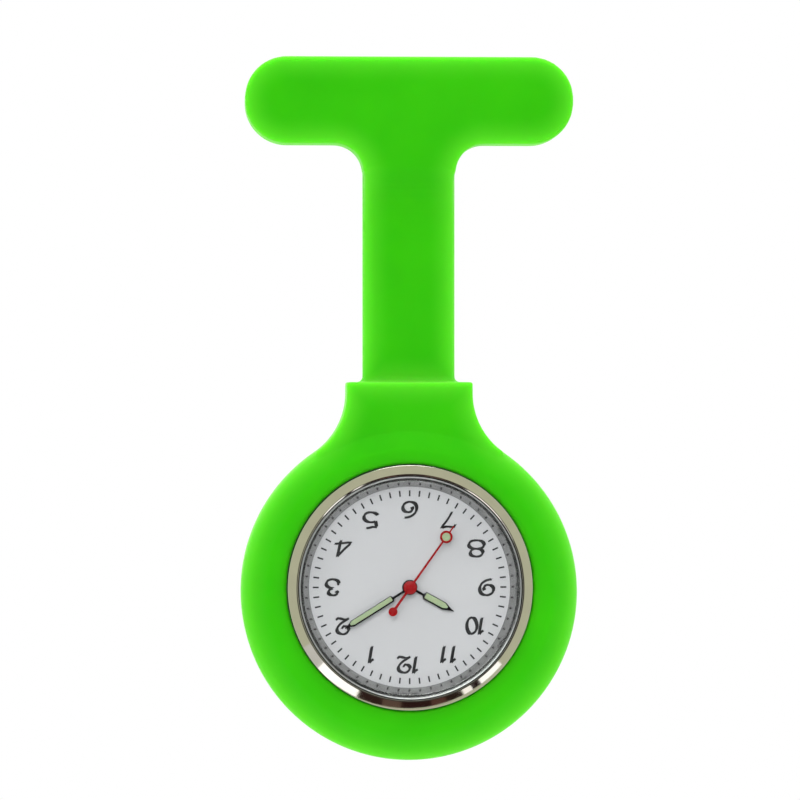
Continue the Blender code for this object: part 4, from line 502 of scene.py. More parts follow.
def soft_silicone(settings):
    """Satin moulded silicone: light goes a little way in, and the skin has a fine dry grain; its outer sides
    carry a painted glow, a lighter colour for the light that comes through and glances off them.
    """
    made = Finish("green silicone", settings.colour, 0.5, specular=0.1)
    clouds = made.band(made.noise(9 * MM, 2), 0.3, 0.7)
    body = made.blend(clouds, settings.deep_colour, settings.colour)
    # painted glow: the colour turns lighter near the outer sides, for the light that comes through them
    thin = made.node("ShaderNodeAttribute", attribute_name=PAINTED_GLOW)
    made.colour(made.blend(thin.outputs["Fac"], body, settings.edge_colour))
    made.set("Subsurface Weight", 0.85)
    made.set("Subsurface Radius", (0.5, 1.0, 0.12))
    made.set("Subsurface Scale", 3.2 * MM)
    made.set("Sheen Weight", 0.2)
    made.set("Sheen Roughness", 0.4)
    made.set("Sheen Tint", (0.5, 1.0, 0.3, 1.0))
    made.uneven(2.5 * MM, 4, 0.44, 0.56)
    made.bump(made.noise(0.12 * MM, 2), 0.006 * MM, 0.6)
    made.bump(made.noise(3.5 * MM, 2), 0.05 * MM, 0.3)
    return made.material


def worn_metal(name, colour, roughness, stretch=(1, 1, 1)):
    """A metal whose gloss varies in clouds, with a fine grain that can be drawn out one way."""
    made = Finish(name, colour, roughness, 1.0)
    clouds = made.band(made.noise(1.7 * MM, 4), 0.35, 0.65)
    made.colour(made.blend(clouds, toned(colour, 0.86), colour))
    made.uneven(0.6 * MM, 5, roughness * 0.75, roughness * 1.3)
    made.bump(made.noise(0.05 * MM, 3, made.mapped(stretch=stretch)), 0.002 * MM, 0.5)
    return made.material


def polished(name, colour, roughness):
    """Mirror-bright steel with faint hairlines round the watch's axis."""
    made = Finish(name, colour, roughness, 1.0)
    made.uneven(0.8 * MM, 4, roughness * 0.7, roughness * 1.4)
    made.bump(made.circles(0.02 * MM, 2), 0.0004 * MM, 0.25)
    clouds = made.band(made.noise(3 * MM, 3), 0.3, 0.7)
    made.colour(made.blend(clouds, toned(colour, 0.94), colour))
    return made.material


def turned_back(name, colour):
    """Steel with the fine circles that a lathe leaves, and a few handling scratches."""
    made = Finish(name, colour, 0.3, 1.0)
    circles = made.circles(0.09 * MM, 4)
    made.rough(made.band(circles, 0.3, 0.7, 0.22, 0.38))
    made.bump(circles, 0.004 * MM, 0.5)
    scratch = made.noise(0.25 * MM, 2, made.mapped(stretch=(1, 1, 26), lean=(0, 0.7, 0)))
    made.colour(made.blend(made.band(scratch, 0.6, 0.72), colour, toned(colour, 1.25)))
    return made.material


def enamel(name, colour, roughness, relief=0.003 * MM, specular=0.5):
    """Smooth paint with a little orange peel and uneven gloss."""
    made = Finish(name, colour, roughness, specular=specular)
    clouds = made.band(made.noise(0.5 * MM, 3), 0.35, 0.65)
    made.colour(made.blend(clouds, toned(colour, 0.85), colour))
    made.uneven(0.3 * MM, 3, roughness * 0.8, roughness * 1.3)
    made.bump(made.noise(0.15 * MM, 2), relief, 0.5)
    return made.material


def dial_lacquer(settings):
    """Silver-white dial lacquer: a fine metallic grain under a satin coat."""
    colour = settings.dial_colour
    made = Finish("dial lacquer", colour, 0.42, specular=0.35)
    grain = made.band(made.noise(0.05 * MM, 2), 0.3, 0.7)
    clouds = made.band(made.noise(5 * MM, 2), 0.3, 0.7)
    fine = made.blend(grain, toned(colour, 0.965), colour)
    made.colour(made.blend(clouds, fine, toned(colour, 1.015)))
    made.uneven(0.4 * MM, 3, 0.36, 0.48)
    made.bump(made.noise(0.06 * MM, 2), 0.001 * MM, 0.4)
    return made.material


def luminous(settings):
    """Matt luminous paste: chalky, with tiny grains."""
    colour = settings.lume_colour
    made = Finish("luminous paste", colour, 0.75, specular=0.2)
    grains = made.band(made.noise(0.06 * MM, 3), 0.3, 0.7)
    made.colour(made.blend(grains, toned(colour, 0.88), colour))
    made.set("Subsurface Weight", 0.1)
    made.set("Subsurface Scale", 0.1 * MM)
    made.bump(made.noise(0.04 * MM, 2), 0.006 * MM, 0.6)
    return made.material


def clear_glass():
    """Clear glass with the faintest smears."""
    made = Finish("mineral glass", (0.97, 0.99, 0.985), 0.0)
    made.set("Transmission Weight", 1.0)
    made.set("IOR", 1.5)
    made.rough(made.band(made.noise(4 * MM, 3), 0.4, 0.75, 0.0, 0.012))
    return made.material


def ground_glass():
    """The frosted edge of the pane."""
    made = Finish("ground glass edge", (0.5, 0.52, 0.51), 0.35)
    made.set("Transmission Weight", 0.75)
    made.set("IOR", 1.5)
    made.bump(made.noise(0.08 * MM, 3), 0.004 * MM, 0.6)
    return made.material


def rubber(name, colour):
    """Dull rubber with a dusty bloom."""
    made = Finish(name, colour, 0.6, specular=0.35)
    made.colour(made.blend(made.noise(0.4 * MM, 4), toned(colour, 0.7), colour))
    made.uneven(0.2 * MM, 3, 0.5, 0.72)
    made.bump(made.noise(0.08 * MM, 3), 0.008 * MM, 0.6)
    return made.material


def moulded_plastic(name, colour, roughness=0.45):
    """Satin plastic that lets a little light in."""
    made = Finish(name, colour, roughness, specular=0.4)
    made.set("Subsurface Weight", 0.08)
    made.set("Subsurface Scale", 0.4 * MM)
    made.colour(made.blend(made.noise(1.5 * MM, 3), toned(colour, 0.93), colour))
    made.uneven(0.5 * MM, 3, roughness * 0.8, roughness * 1.25)
    made.bump(made.noise(0.1 * MM, 2), 0.004 * MM, 0.5)
    return made.material


def wound_copper():
    """Enamelled copper wire, turn beside turn along the coil, with painted shade in the grooves between
    turns.
    """
    made = Finish("copper winding", (0.62, 0.22, 0.08), 0.3, 1.0)
    turns = made.node("ShaderNodeTexWave", wave_type="BANDS", bands_direction="X", wave_profile="SIN")
    turns.inputs["Scale"].default_value = 1 / (0.3 * MM)
    turns.inputs["Distortion"].default_value = 0.4
    made.join(made.place, turns.inputs["Vector"])
    # painted shade: the colour darkens in the grooves between turns
    made.colour(made.blend(turns.outputs["Fac"], (0.2, 0.05, 0.02), (0.7, 0.27, 0.1)))
    made.bump(turns.outputs["Fac"], 0.02 * MM, 0.8)
    made.uneven(0.3 * MM, 3, 0.24, 0.4)
    return made.material


def circuit_green():
    """Solder mask over copper tracks."""
    made = Finish("circuit board", (0.01, 0.13, 0.05), 0.3)
    tracks = made.node("ShaderNodeTexBrick")
    tracks.inputs["Scale"].default_value = 1 / (1.2 * MM)
    tracks.inputs["Mortar Size"].default_value = 0.06
    for key, value in (("Color1", 0.0), ("Color2", 0.1), ("Mortar", 1.0)):
        tracks.inputs[key].default_value = (value, value, value, 1)
    made.join(made.mapped(lean=(TAU / 4, 0, 0)), tracks.inputs["Vector"])
    made.colour(made.blend(tracks.outputs["Color"], (0.008, 0.11, 0.04), (0.03, 0.26, 0.1)))
    made.bump(tracks.outputs["Color"], 0.01 * MM, 0.5)
    made.uneven(0.3 * MM, 3, 0.22, 0.38)
    return made.material


def shared(name, maker, *values):
    """One material, however many pieces use it."""
    return bpy.data.materials.get(name) or maker(*values)


def steel():
    return shared("polished steel", polished, "polished steel", (0.74, 0.72, 0.68), 0.06)


def nickel():
    return shared("nickel plate", worn_metal, "nickel plate", (0.66, 0.64, 0.6), 0.2)


def grey_steel():
    return shared("satin grey steel", worn_metal, "satin grey steel", (0.42, 0.42, 0.41), 0.16)


def turned_steel():
    return shared("turned steel", turned_back, "turned steel", (0.56, 0.55, 0.53))


def hand_metal():
    return shared("black nickel", worn_metal, "black nickel", (0.03, 0.03, 0.032), 0.16)


def black_rubber():
    return shared("black rubber", rubber, "black rubber", (0.02, 0.02, 0.02))


# ---------------------------------------------------------------- silicone skin
def bar_outline(s):
    """The T-bar, with the fillets that lead into the strap."""
    half, height, strap = BAR_HIGH.x, 2 * BAR_HIGH.z, s.strap_width / 2
    radius = (height - s.end_flat) / 2
    top = height / 2
    points = arc((half - radius, top - radius), radius, 90, 0, 20)
    points += arc((half - radius, radius - top), radius, 0, -90, 20)
    points += arc((strap + s.bar_fillet, -top - s.bar_fillet), s.bar_fillet, 90, 180, 14)
    return points + mirrored(points)


def collar_outline(s):
    """The collar from its step down to where it flares into the ring."""
    half = s.collar_width / 2
    reach = RING_RADIUS + s.collar_flare
    flare_x = half + s.collar_flare
    flare_z = RING_Z + math.sqrt(reach**2 - flare_x**2)
    lean = math.degrees(math.asin(flare_x / reach))
    points = [(half, s.step_z)]
    points += arc((flare_x, flare_z), s.collar_flare, 180, 270 - lean, 24)
    points.append((half, AXIS_Z + CASE_RADIUS - s.rim_round))
    return points + mirrored(points)


def slab(outline, low, high, edge, segments=8):
    """A solid plate with its rim rounded at both faces."""
    bm = bmesh.new()
    face = bm.faces.new([bm.verts.new((x, y, low)) for x, y in outline])
    raise_faces(bm, [face], high - low)
    middle = (low + high) / 2
    rims = [e for e in bm.edges if (e.verts[0].co.z < middle) == (e.verts[1].co.z < middle)]
    round_edges(bm, rims, edge, segments)
    return bm


def ring_profile(s):
    """The ring's outer shape, as (radius, depth) points."""
    back, face = -RING_HIGH.y, -RING_LOW.y
    rim = face - 0.4 * MM
    points = [(0, back), (RING_RADIUS - s.back_round, back)]
    points += arc((RING_RADIUS - s.back_round, back + s.back_round), s.back_round, -60, 0, 6)
    points += arc((RING_RADIUS - s.rim_round, rim - s.rim_round), s.rim_round, 0, 78, 14)
    inner = BEZEL_RADIUS + 0.3 * MM
    lip = ((2.2 * MM, 0), (1.2 * MM, 0.05 * MM), (0.5 * MM, 0.15 * MM), (0, 0.32 * MM))
    points += [(inner + out, face - fall) for out, fall in lip]
    return points + [(0, points[-1][1])]


def cavity_profile(s):
    """The space for the case, as (radius, level) points."""
    slack, chamfer, neck_height = 0.1 * MM, 0.75 * MM, 1.45 * MM
    beyond = -2 * RING_LOW.y
    wide, opening, mouth = CASE_RADIUS + slack, BACK_RADIUS + 2 * slack, BEZEL_RADIUS + s.lip_gap
    rear, shoulder = CASE_FOOT - slack, CASE_TOP - neck_height + slack
    return [
        (0, -beyond),
        (opening, -beyond),
        (opening, rear),
        (wide - chamfer, rear),
        (wide, rear + chamfer),
        (wide, shoulder - chamfer),
        (wide - chamfer, shoulder),
        (mouth, shoulder),
        (mouth, beyond),
        (0, beyond),
    ]


def back_openings():
    """The channel that holds the brooch plate, and the windows in the bar's back."""
    room = 0.2 * MM
    plate_back, plate_front, plate_tall = 2.35 * MM, 2.95 * MM, 2.1 * MM
    window_front, window_edge, beyond = 2.65 * MM, 0.35 * MM, 3.0 * MM
    half, tall = PLATE_HIGH.x + room, plate_tall + room
    bridge_in, bridge_out = 6 * MM, 10 * MM
    cuts = [block((-half, -plate_front - room, -tall), (half, room - plate_back, tall))]
    for start, end in ((-half, -bridge_out), (-bridge_in, bridge_in), (bridge_out, half)):
        window = block((start, -window_front, -tall), (end, beyond, tall))
        cuts.append(soften(window, window_edge, 3, only=upright))
    return cuts


def upright(edge):
    """True for an edge that runs through the bar, front to back."""
    a, b = (vert.co for vert in edge.verts)
    return abs(a.x - b.x) < 0.01 * MM and abs(a.z - b.z) < 0.01 * MM


def wedge(half, s):
    """The slope that carries the T-bar's thickness down to the strap's."""
    top, front, inside = -BAR_LOW.y, s.strap_back + s.strap_thick, s.strap_back + 1.4 * MM
    start, end = -4.5 * MM, -15 * MM
    slope = [  # (depth, height)
        (top, start),
        (top - 0.08 * MM, -7.2 * MM),
        (top - 0.3 * MM, -9.3 * MM),
        (front + 0.7 * MM, -11 * MM),
        (front + 0.25 * MM, -12.8 * MM),
        (front, end),
    ]

    def front_rim(edge):
        a, b = (vert.co for vert in edge.verts)
        return abs(a.x - b.x) < MM and a.y < -front

    bm = plate([*slope, (inside, end), (inside, start)], [], -half, half)
    bm.transform(Matrix(((0, 0, 1, 0), (-1, 0, 0, 0), (0, 1, 0, 0), (0, 0, 0, 1))))
    return soften(bm, 0.9 * MM, 5, only=front_rim)


def ease_step(skin, s):
    """Smooths the place where the T-bar flows into the strap."""
    middle, reach, half = -10.2 * MM, 5.5 * MM, s.strap_width / 2 - 0.9 * MM
    fade, passes = 3, 160
    group = skin.vertex_groups.new(name="bar_to_strap")
    for vert in skin.data.vertices:
        away = max(abs(vert.co.z - middle) / reach, abs(vert.co.x) / half)
        if away < 1 and vert.co.y < -s.strap_back - s.strap_thick / 2:
            group.add([vert.index], min(1.0, fade * (1 - away)), "REPLACE")
    smooth = skin.modifiers.new("flow", "SMOOTH")
    smooth.factor = 0.5
    smooth.iterations = passes
    smooth.use_x = False
    smooth.use_z = False
    smooth.vertex_group = group.name
    settle(skin)
    skin.vertex_groups.clear()


def mark_thin_edges(skin, s):
    """Stores how near each point lies to the moulding's outer sides, as seen from the front, as the mask of
    the painted glow on its edges.
    """
    mesh = skin.data
    spots = [(v.co.x, 0, v.co.z) for v in mesh.vertices if on_outer_side(v)]
    tree = kdtree.KDTree(len(spots))
    for i, spot in enumerate(spots):
        tree.insert(spot, i)
    tree.balance()
    thin = mesh.attributes.new(PAINTED_GLOW, "FLOAT", "POINT")
    for i, vert in enumerate(mesh.vertices):
        gap = tree.find((vert.co.x, 0, vert.co.z))[2]
        near = max(0.0, 1 - gap / s.edge_reach)
        thin.data[i].value = near**GLOW_FADE


def on_outer_side(vert):
    """True on a side that faces outwards, and not in the head's, the brooch's or the crown's opening."""
    x, y, z = vert.co
    head_room, plate_room, plate_rise, crown_room = 2.5 * MM, MM, 0.8 * MM, 3 * MM
    in_head = math.hypot(x, z - AXIS_Z) < BEZEL_RADIUS + head_room
    in_opening = abs(x) < PLATE_HIGH.x + plate_room and abs(z) < PLATE_HIGH.z + plate_rise
    off_crown = math.hypot(y - (CROWN_LOW.y + CROWN_HIGH.y) / 2, z - AXIS_Z)
    in_pocket = MM - RING_RADIUS < x < 0 and off_crown < crown_room
    return abs(vert.normal.y) < 0.35 and not (in_head or in_opening or in_pocket)


def crown_space():
    """The pocket in the ring that the crown sits in."""
    start, radius, room = -14.2 * MM, 2.1 * MM, 0.9 * MM
    middle_y, middle_z = (CROWN_LOW.y + CROWN_HIGH.y) / 2, (CROWN_LOW.z + CROWN_HIGH.z) / 2
    place = Matrix.Translation((start, middle_y, middle_z)) @ Matrix.Rotation(-TAU / 4, 4, "Y")
    return piece("crown_space", tube(0, radius, 0, start - CROWN_LOW.x + room), place)


def silicone_skin(s):
    """The T-bar, strap, collar and ring as one moulding."""
    bar = slab(bar_outline(s), -BAR_HIGH.y, -BAR_LOW.y, s.bar_edge)
    skin = piece("silicone_skin", bar, FRONT)
    half, middle = s.strap_width / 2, s.strap_back + s.strap_thick / 2
    overlap = 2 * MM

    def lengthwise(edge):
        return abs(edge.verts[0].co.z - edge.verts[1].co.z) > s.strap_width

    strap_front = -middle - s.strap_thick / 2
    strap = block((-half, strap_front, s.step_z - overlap), (half, -s.strap_back, 0))
    soften(strap, s.strap_edge, 6, only=lengthwise)
    ramp = wedge(half - 0.15 * MM, s)
    collar = slab(collar_outline(s), s.collar_back, s.collar_back + s.collar_thick, s.collar_edge)
    combine(
        skin,
        "UNION",
        piece("strap", strap),
        piece("ramp", ramp),
        piece("collar", collar, FRONT),
        piece("ring", lathe(ring_profile(s)), Matrix.Translation((0, 0, RING_Z)) @ FRONT),
    )
    cuts = [piece("case_space", lathe(cavity_profile(s)), HEAD), crown_space()]
    cuts += [piece(f"back_opening_{i}", cut) for i, cut in enumerate(back_openings())]
    combine(skin, "DIFFERENCE", *cuts)
    remesh = skin.modifiers.new("moulding", "REMESH")
    remesh.mode = "VOXEL"
    remesh.voxel_size = s.voxel
    smooth = skin.modifiers.new("softening", "SMOOTH")
    smooth.factor = 0.5
    smooth.iterations = 4
    settle(skin)
    ease_step(skin, s)
    mark_thin_edges(skin, s)
    skin.data.shade_smooth()
    skin.data.materials.clear()
    skin.data.materials.append(shared("green silicone", soft_silicone, s))
    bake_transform(skin)
    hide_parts("holder_upper", "holder_lower")


# ---------------------------------------------------------------- bezel, glass and wall
def bezel_ring(s):
    """The bezel: a polished slope from the crest round its bore down to its rim."""
    bore, neck, seat = s.bezel_bore, s.neck_radius, SEAL_TOP + 0.1 * MM
    corners = [
        (neck, BEZEL_FOOT, 0),
        (BEZEL_RADIUS, BEZEL_FOOT, 0.05 * MM),
        (BEZEL_RADIUS, BEZEL_TOP - s.bezel_slope, 0.09 * MM),
        (bore + s.bezel_crest, BEZEL_TOP, 0.08 * MM),
        (bore, BEZEL_TOP - 0.06 * MM, 0.04 * MM),
        (bore, seat, 0.02 * MM),
        (neck, seat, 0),
    ]
    ring = turned("bezel_ring", corners, sides=2 * FINE, angle=25)
    dress(ring, "watch", "polished_steel", steel(), replaces=("bezel",))


def glass(s):
    """The pane with its ground edge, and the gasket round it."""
    slope, edge = s.glass_bevel, 0.05 * MM
    corners = [
        (0, GLASS_FOOT, 0),
        (GLASS_RADIUS, GLASS_FOOT, edge),
        (GLASS_RADIUS, GLASS_TOP - slope, edge),
        (GLASS_RADIUS - slope, GLASS_TOP, edge),
        (0, GLASS_TOP, 0),
    ]
    pane = turned("glass", corners, 3, angle=8)
    clear = shared("mineral glass", clear_glass)
    dress(pane, "watch", "glass", clear, ground_glass(), replaces=("crystal",))
    for face in pane.data.polygons:
        reach = math.hypot(face.center.x, face.center.z - AXIS_Z)
        if reach > GLASS_RADIUS - slope * 0.98 and abs(face.normal.y) < 0.97:
            face.material_index = 1
    pane.visible_shadow = False
    inner, outer = GLASS_RADIUS + 0.05 * MM, radius_of("crystal_gasket")
    corners = [
        (inner, SEAL_FOOT, 0.03 * MM),
        (outer, SEAL_FOOT, 0.03 * MM),
        (outer, SEAL_TOP, 0.06 * MM),
        (inner, SEAL_TOP, 0.06 * MM),
    ]
    gasket = turned("glass_gasket", corners, 3)
    dress(gasket, "watch", "black_rubber", black_rubber(), replaces=("crystal_gasket",))


def polished_wall(s):
    """The ring that slopes from the glass down to the dial."""
    outer = radius_of("rehaut_ring")
    corners = [
        (s.wall_foot, WALL_FOOT, 0),
        (outer, WALL_FOOT, 0),
        (outer, WALL_TOP, 0.02 * MM),
        (s.wall_top, WALL_TOP, 0.05 * MM),
    ]
    wall = turned("polished_wall", corners, sides=2 * FINE, angle=25)
    dress(wall, "watch", "polished_steel", grey_steel(), replaces=("rehaut_ring",))


# ---------------------------------------------------------------- dial
# Each numeral is one or more strokes of the pen: points in units of its height, from its foot's middle.
STROKES = {
    "0": [
        [(0.02, 1.0), (-0.24, 0.82), (-0.31, 0.45), (-0.17, 0.08), (0.02, 0.0),
         (0.24, 0.16), (0.31, 0.55), (0.2, 0.9), (0.02, 1.0)],
    ],
    "1": [[(-0.16, 0.8), (-0.03, 0.88), (0.1, 1.0), (0.03, 0.5), (-0.05, 0.03)]],
    "2": [
        [(0.05, 0.64), (-0.08, 0.5), (-0.27, 0.55), (-0.37, 0.72), (-0.2, 0.95), (0.05, 1.0), (0.3, 0.88),
         (0.35, 0.64), (0.15, 0.37), (-0.15, 0.16), (-0.38, 0.02), (-0.2, 0.1), (0.05, 0.07),
         (0.25, 0.01), (0.42, 0.12)],
    ],
    "3": [
        [(-0.22, 0.72), (-0.32, 0.84), (-0.18, 0.97), (0.06, 0.98), (0.24, 0.86), (0.2, 0.66), (-0.02, 0.55),
         (0.22, 0.5), (0.38, 0.32), (0.3, 0.1), (0.03, 0.0), (-0.27, 0.06), (-0.4, 0.24), (-0.3, 0.34)],
    ],
    "4": [
        [(0.33, 0.97), (-0.08, 0.54), (-0.48, 0.14), (0.0, 0.16), (0.48, 0.2)],
        [(0.33, 0.97), (0.23, 0.5), (0.12, 0.0)],
    ],
    "5": [
        [(-0.28, 0.57), (-0.31, 0.75), (-0.33, 0.92), (-0.12, 0.9), (0.06, 0.95), (0.28, 0.99)],
        [(-0.28, 0.57), (-0.05, 0.62), (0.22, 0.58), (0.42, 0.4), (0.4, 0.16), (0.15, 0.01),
         (-0.2, 0.03), (-0.42, 0.18)],
    ],
    "6": [
        [(0.3, 0.98), (-0.05, 0.9), (-0.34, 0.68), (-0.44, 0.36), (-0.3, 0.08), (0.03, 0.0), (0.34, 0.14),
         (0.42, 0.4), (0.27, 0.6), (0.0, 0.63), (-0.18, 0.48), (-0.14, 0.3)],
    ],
    "7": [
        [(-0.42, 0.78), (-0.34, 0.92), (-0.1, 0.9), (0.14, 0.89), (0.4, 0.94), (0.13, 0.58),
         (-0.1, 0.24), (-0.22, 0.0)],
    ],
    "8": [
        [(0.0, 0.52), (-0.3, 0.58), (-0.4, 0.76), (-0.25, 0.95), (0.02, 1.0), (0.3, 0.93),
         (0.38, 0.74), (0.25, 0.56), (0.0, 0.52)],
        [(0.0, 0.52), (-0.36, 0.45), (-0.48, 0.25), (-0.32, 0.05), (0.0, 0.0), (0.33, 0.06),
         (0.48, 0.27), (0.34, 0.46), (0.0, 0.52)],
    ],
}
STROKES["9"] = [[(-x, 1 - y) for x, y in stroke] for stroke in STROKES["6"]]
DIGIT_STEP = {"10": 0.56, "11": 0.6, "12": 0.68}  # in units of a numeral's height


def smooth_path(points, steps=7):
    """A smooth curve through the points."""
    ends = [points[0], *points, points[-1]]
    if points[0] == points[-1]:
        ends = [points[-2], *points, points[1]]
    path = []
    for corners in zip(ends, ends[1:], ends[2:], ends[3:]):
        a, b, c, d = (Vector(corner) for corner in corners)
        for i in range(steps):
            t = i / steps
            bend = (2 * a - 5 * b + 4 * c - d) * t**2 + (3 * b - a - 3 * c + d) * t**3
            path.append(0.5 * (2 * b + (c - a) * t + bend))
    return path + [Vector(points[-1])]


def ribbon(bm, path, nib, height):
    """The band that an edge as wide as the nib paints along a path."""
    first = [bm.verts.new((*(path[0] + side * nib / 2), height)) for side in (-1, 1)]
    edge = bm.edges.new(first)
    for here, ahead in zip(path, path[1:]):
        grown = bmesh.ops.extrude_edge_only(bm, edges=[edge])["geom"]
        moved = [v for v in grown if isinstance(v, bmesh.types.BMVert)]
        bmesh.ops.translate(bm, vec=(*(ahead - here), 0), verts=moved)
        edge = next(e for e in grown if isinstance(e, bmesh.types.BMEdge))


def numeral(bm, text, centre, s):
    """Writes a number's digits side by side, with the pen's broad edge and its thin one."""
    size = s.numeral_height
    broad = Vector((math.cos(s.pen_angle), math.sin(s.pen_angle))) * s.pen_broad
    thin = Vector((-math.sin(s.pen_angle), math.cos(s.pen_angle))) * s.pen_thin
    step = DIGIT_STEP.get(text, 0)
    for i, digit in enumerate(text):
        foot = Vector(centre) + Vector(((i - (len(text) - 1) / 2) * step, -0.5)) * size
        for stroke in STROKES[digit]:
            path = [foot + p * size for p in smooth_path(stroke)]
            ribbon(bm, path, broad, DIAL_TOP + s.ink)
            ribbon(bm, path, thin, DIAL_TOP + s.ink * 0.9)


def watch_dial(s):
    """The dial plate, its minute marks and its numerals."""
    hole, edge = 0.76 * MM, 0.03 * MM
    corners = [
        (hole, DIAL_FOOT, 0),
        (DIAL_RADIUS, DIAL_FOOT, 0),
        (DIAL_RADIUS, DIAL_TOP, edge),
        (hole, DIAL_TOP, edge),
    ]
    lacquer = shared("dial lacquer", dial_lacquer, s)
    ink = enamel("dial ink", s.ink_colour, 0.45, 0.001 * MM)
    dress(turned("dial_plate", corners, angle=8), "watch", "dial_paint", lacquer, replaces=("dial",))
    ticks = bmesh.new()
    for i in range(s.tick_count):
        mark = bmesh.ops.create_cube(ticks, size=1)["verts"]
        bmesh.ops.scale(ticks, vec=(s.tick_width, s.tick_length, 2 * s.ink), verts=mark)
        bmesh.ops.translate(ticks, vec=(0, s.tick_radius, DIAL_TOP), verts=mark)
        about = Matrix.Rotation(TAU * i / s.tick_count, 3, "Z")
        bmesh.ops.rotate(ticks, cent=(0, 0, 0), matrix=about, verts=mark)
    dress(piece("dial_minute_track", ticks, HEAD), "watch", "black_paint", ink)
    printing = bmesh.new()
    for hour in range(1, 13):
        angle = TAU * hour / 12
        centre = (s.numeral_radius * math.sin(angle), s.numeral_radius * math.cos(angle))
        numeral(printing, str(hour), centre, s)
    bmesh.ops.remove_doubles(printing, verts=printing.verts, dist=WELD)
    numerals = piece("dial_numerals", printing, HEAD @ Matrix.Rotation(TAU / 2, 4, "Z"))
    thicken = numerals.modifiers.new("ink", "SOLIDIFY")
    thicken.thickness = s.ink * 0.8
    thicken.offset = -1
    settle(numerals)
    dress(numerals, "watch", "black_paint", ink)


# ---------------------------------------------------------------- hands
def hand_place(angle):
    """Turns a hand that points up to its reading on the turned-over dial."""
    return HEAD @ Matrix.Rotation(math.pi - angle, 4, "Z")


def blade(reach, width, neck_end, body_end, hub):
    """An outline pointing along +y: hub, neck, broad body and point."""
    neck = 0.15 * MM
    right = [
        (neck, hub),
        (neck, neck_end),
        (width / 2, neck_end + width * 0.22),
        (width / 2, body_end),
        (0.13 * MM, reach - 0.45 * MM),
        (0.05 * MM, reach),
    ]
    tail = arc((0, 0), hub, 90, 450, 48)
    return right + mirrored(right) + [(x, y) for x, y in tail if abs(x) >= neck * 1.3 or y <= 0]


def paste(width, start, end, low, high, shift):
    """The luminous fill of a hand, a little domed."""
    tip, edge = 0.12 * MM, 0.08 * MM
    right = [(width / 2, start), (width / 2, end), (tip, end + width * 0.75)]
    outline = rounded([(x, y, edge) for x, y in right + mirrored(right)], 3)
    return soften(plate([(x + shift, y) for x, y in outline], [], low, high), edge, 3)


def broad_hand(name, s, neck_end, body_end, bore, hub, shift):
    """A framed hand, and its luminous fill a little to one side of its middle."""
    reach, width, angle = (getattr(s, f"{name}_{key}") for key in ("length", "width", "angle"))
    body, node, place = name + "s", name + "_hand", hand_place(angle)
    low = levels_of(node)[0]
    top, rail = low + s.thick, 0.15 * MM
    outline = blade(reach, width, neck_end, body_end, hub)
    blank = soften(plate(outline, [circle(bore, SMALL)], low, top), HAND_EDGE)
    dress(piece(node + "_frame", blank, place, 30), body, "black_paint", hand_metal(), replaces=(node,))
    fill_start, fill_end = neck_end + width * 0.3, body_end - 0.1 * MM
    fill = paste(width - 2 * rail, fill_start, fill_end, top - 0.02 * MM, top + 0.08 * MM, shift)
    dress(piece(node + "_lume", fill, place, 60), body, "dial_paint", shared("luminous paste", luminous, s))


def second_hand(s):
    """Needle, cap, sight ring and counterweight, with the sight's luminous fill."""
    low, top = levels_of("second_hand")
    base = top - s.thick
    lap, edge = 0.02 * MM, 0.05 * MM
    place = hand_place(s.second_angle)
    at_sight = place @ Matrix.Translation((0, s.sight_at, 0))
    at_weight = place @ Matrix.Translation((0, -s.second_tail, 0))
    half = s.second_width / 2
    at_tip, at_tail = half * 0.55, half * 1.1
    right = [(half, 0), (half * 0.8, s.sight_at), (at_tip, s.second_length)]
    outline = right + mirrored(right) + [(-at_tail, -s.second_tail), (at_tail, -s.second_tail)]
    needle = piece("seconds_needle", soften(plate(outline, [], base, top), HAND_EDGE), place)
    hub, weight, inner, outer = s.second_hub, s.second_weight, s.sight_bore, s.sight_radius
    cap = [
        (0, base, 0),
        (hub, base, 0),
        (hub, top - lap, 0.06 * MM),
        (hub * 0.6, top + 0.03 * MM, 0.2 * MM),
        (0, top + 0.04 * MM, 0),
    ]
    disc = [(0, base, 0), (weight, base, 0), (weight, top, edge), (0, top, 0)]
    sight = [(inner, base, 0.03 * MM), (outer, base, 0.03 * MM), (outer, top, edge), (inner, top, edge)]
    hole = tube(0, inner * 1.01, base - MM, top + MM)
    combine(needle, "DIFFERENCE", piece("sight_hole", hole, at_sight))
    combine(
        needle,
        "UNION",
        turned("cap", cap, 4, place, sides=64),
        turned("weight", disc, 4, at_weight, sides=SMALL),
        turned("sight", sight, 4, at_sight, sides=SMALL),
        piece("pipe", tube(0.17 * MM, 0.3 * MM, low, base + lap), place),
    )
    settle(needle, 35)
    red = enamel("red enamel", s.red_colour, 0.28, specular=0.25)
    dress(needle, "seconds", "red_paint", red, replaces=("second_hand",))
    fill = [
        (0, base + lap, 0),
        (inner, base + lap, 0),
        (inner, top - 0.03 * MM, 0.03 * MM),
        (0, top - 0.01 * MM, 0),
    ]
    lume = turned("seconds_sight_lume", fill, 3, at_sight, SMALL, angle=60)
    dress(lume, "seconds", "dial_paint", shared("luminous paste", luminous, s))


def watch_hands(s):
    """The three hands, from the lowest up."""
    broad_hand("hour", s, 1.9 * MM, 4.9 * MM, bore=0.7 * MM, hub=0.95 * MM, shift=-0.06 * MM)
    broad_hand("minute", s, 2.4 * MM, 8.4 * MM, bore=0.44 * MM, hub=0.75 * MM, shift=0.06 * MM)
    second_hand(s)


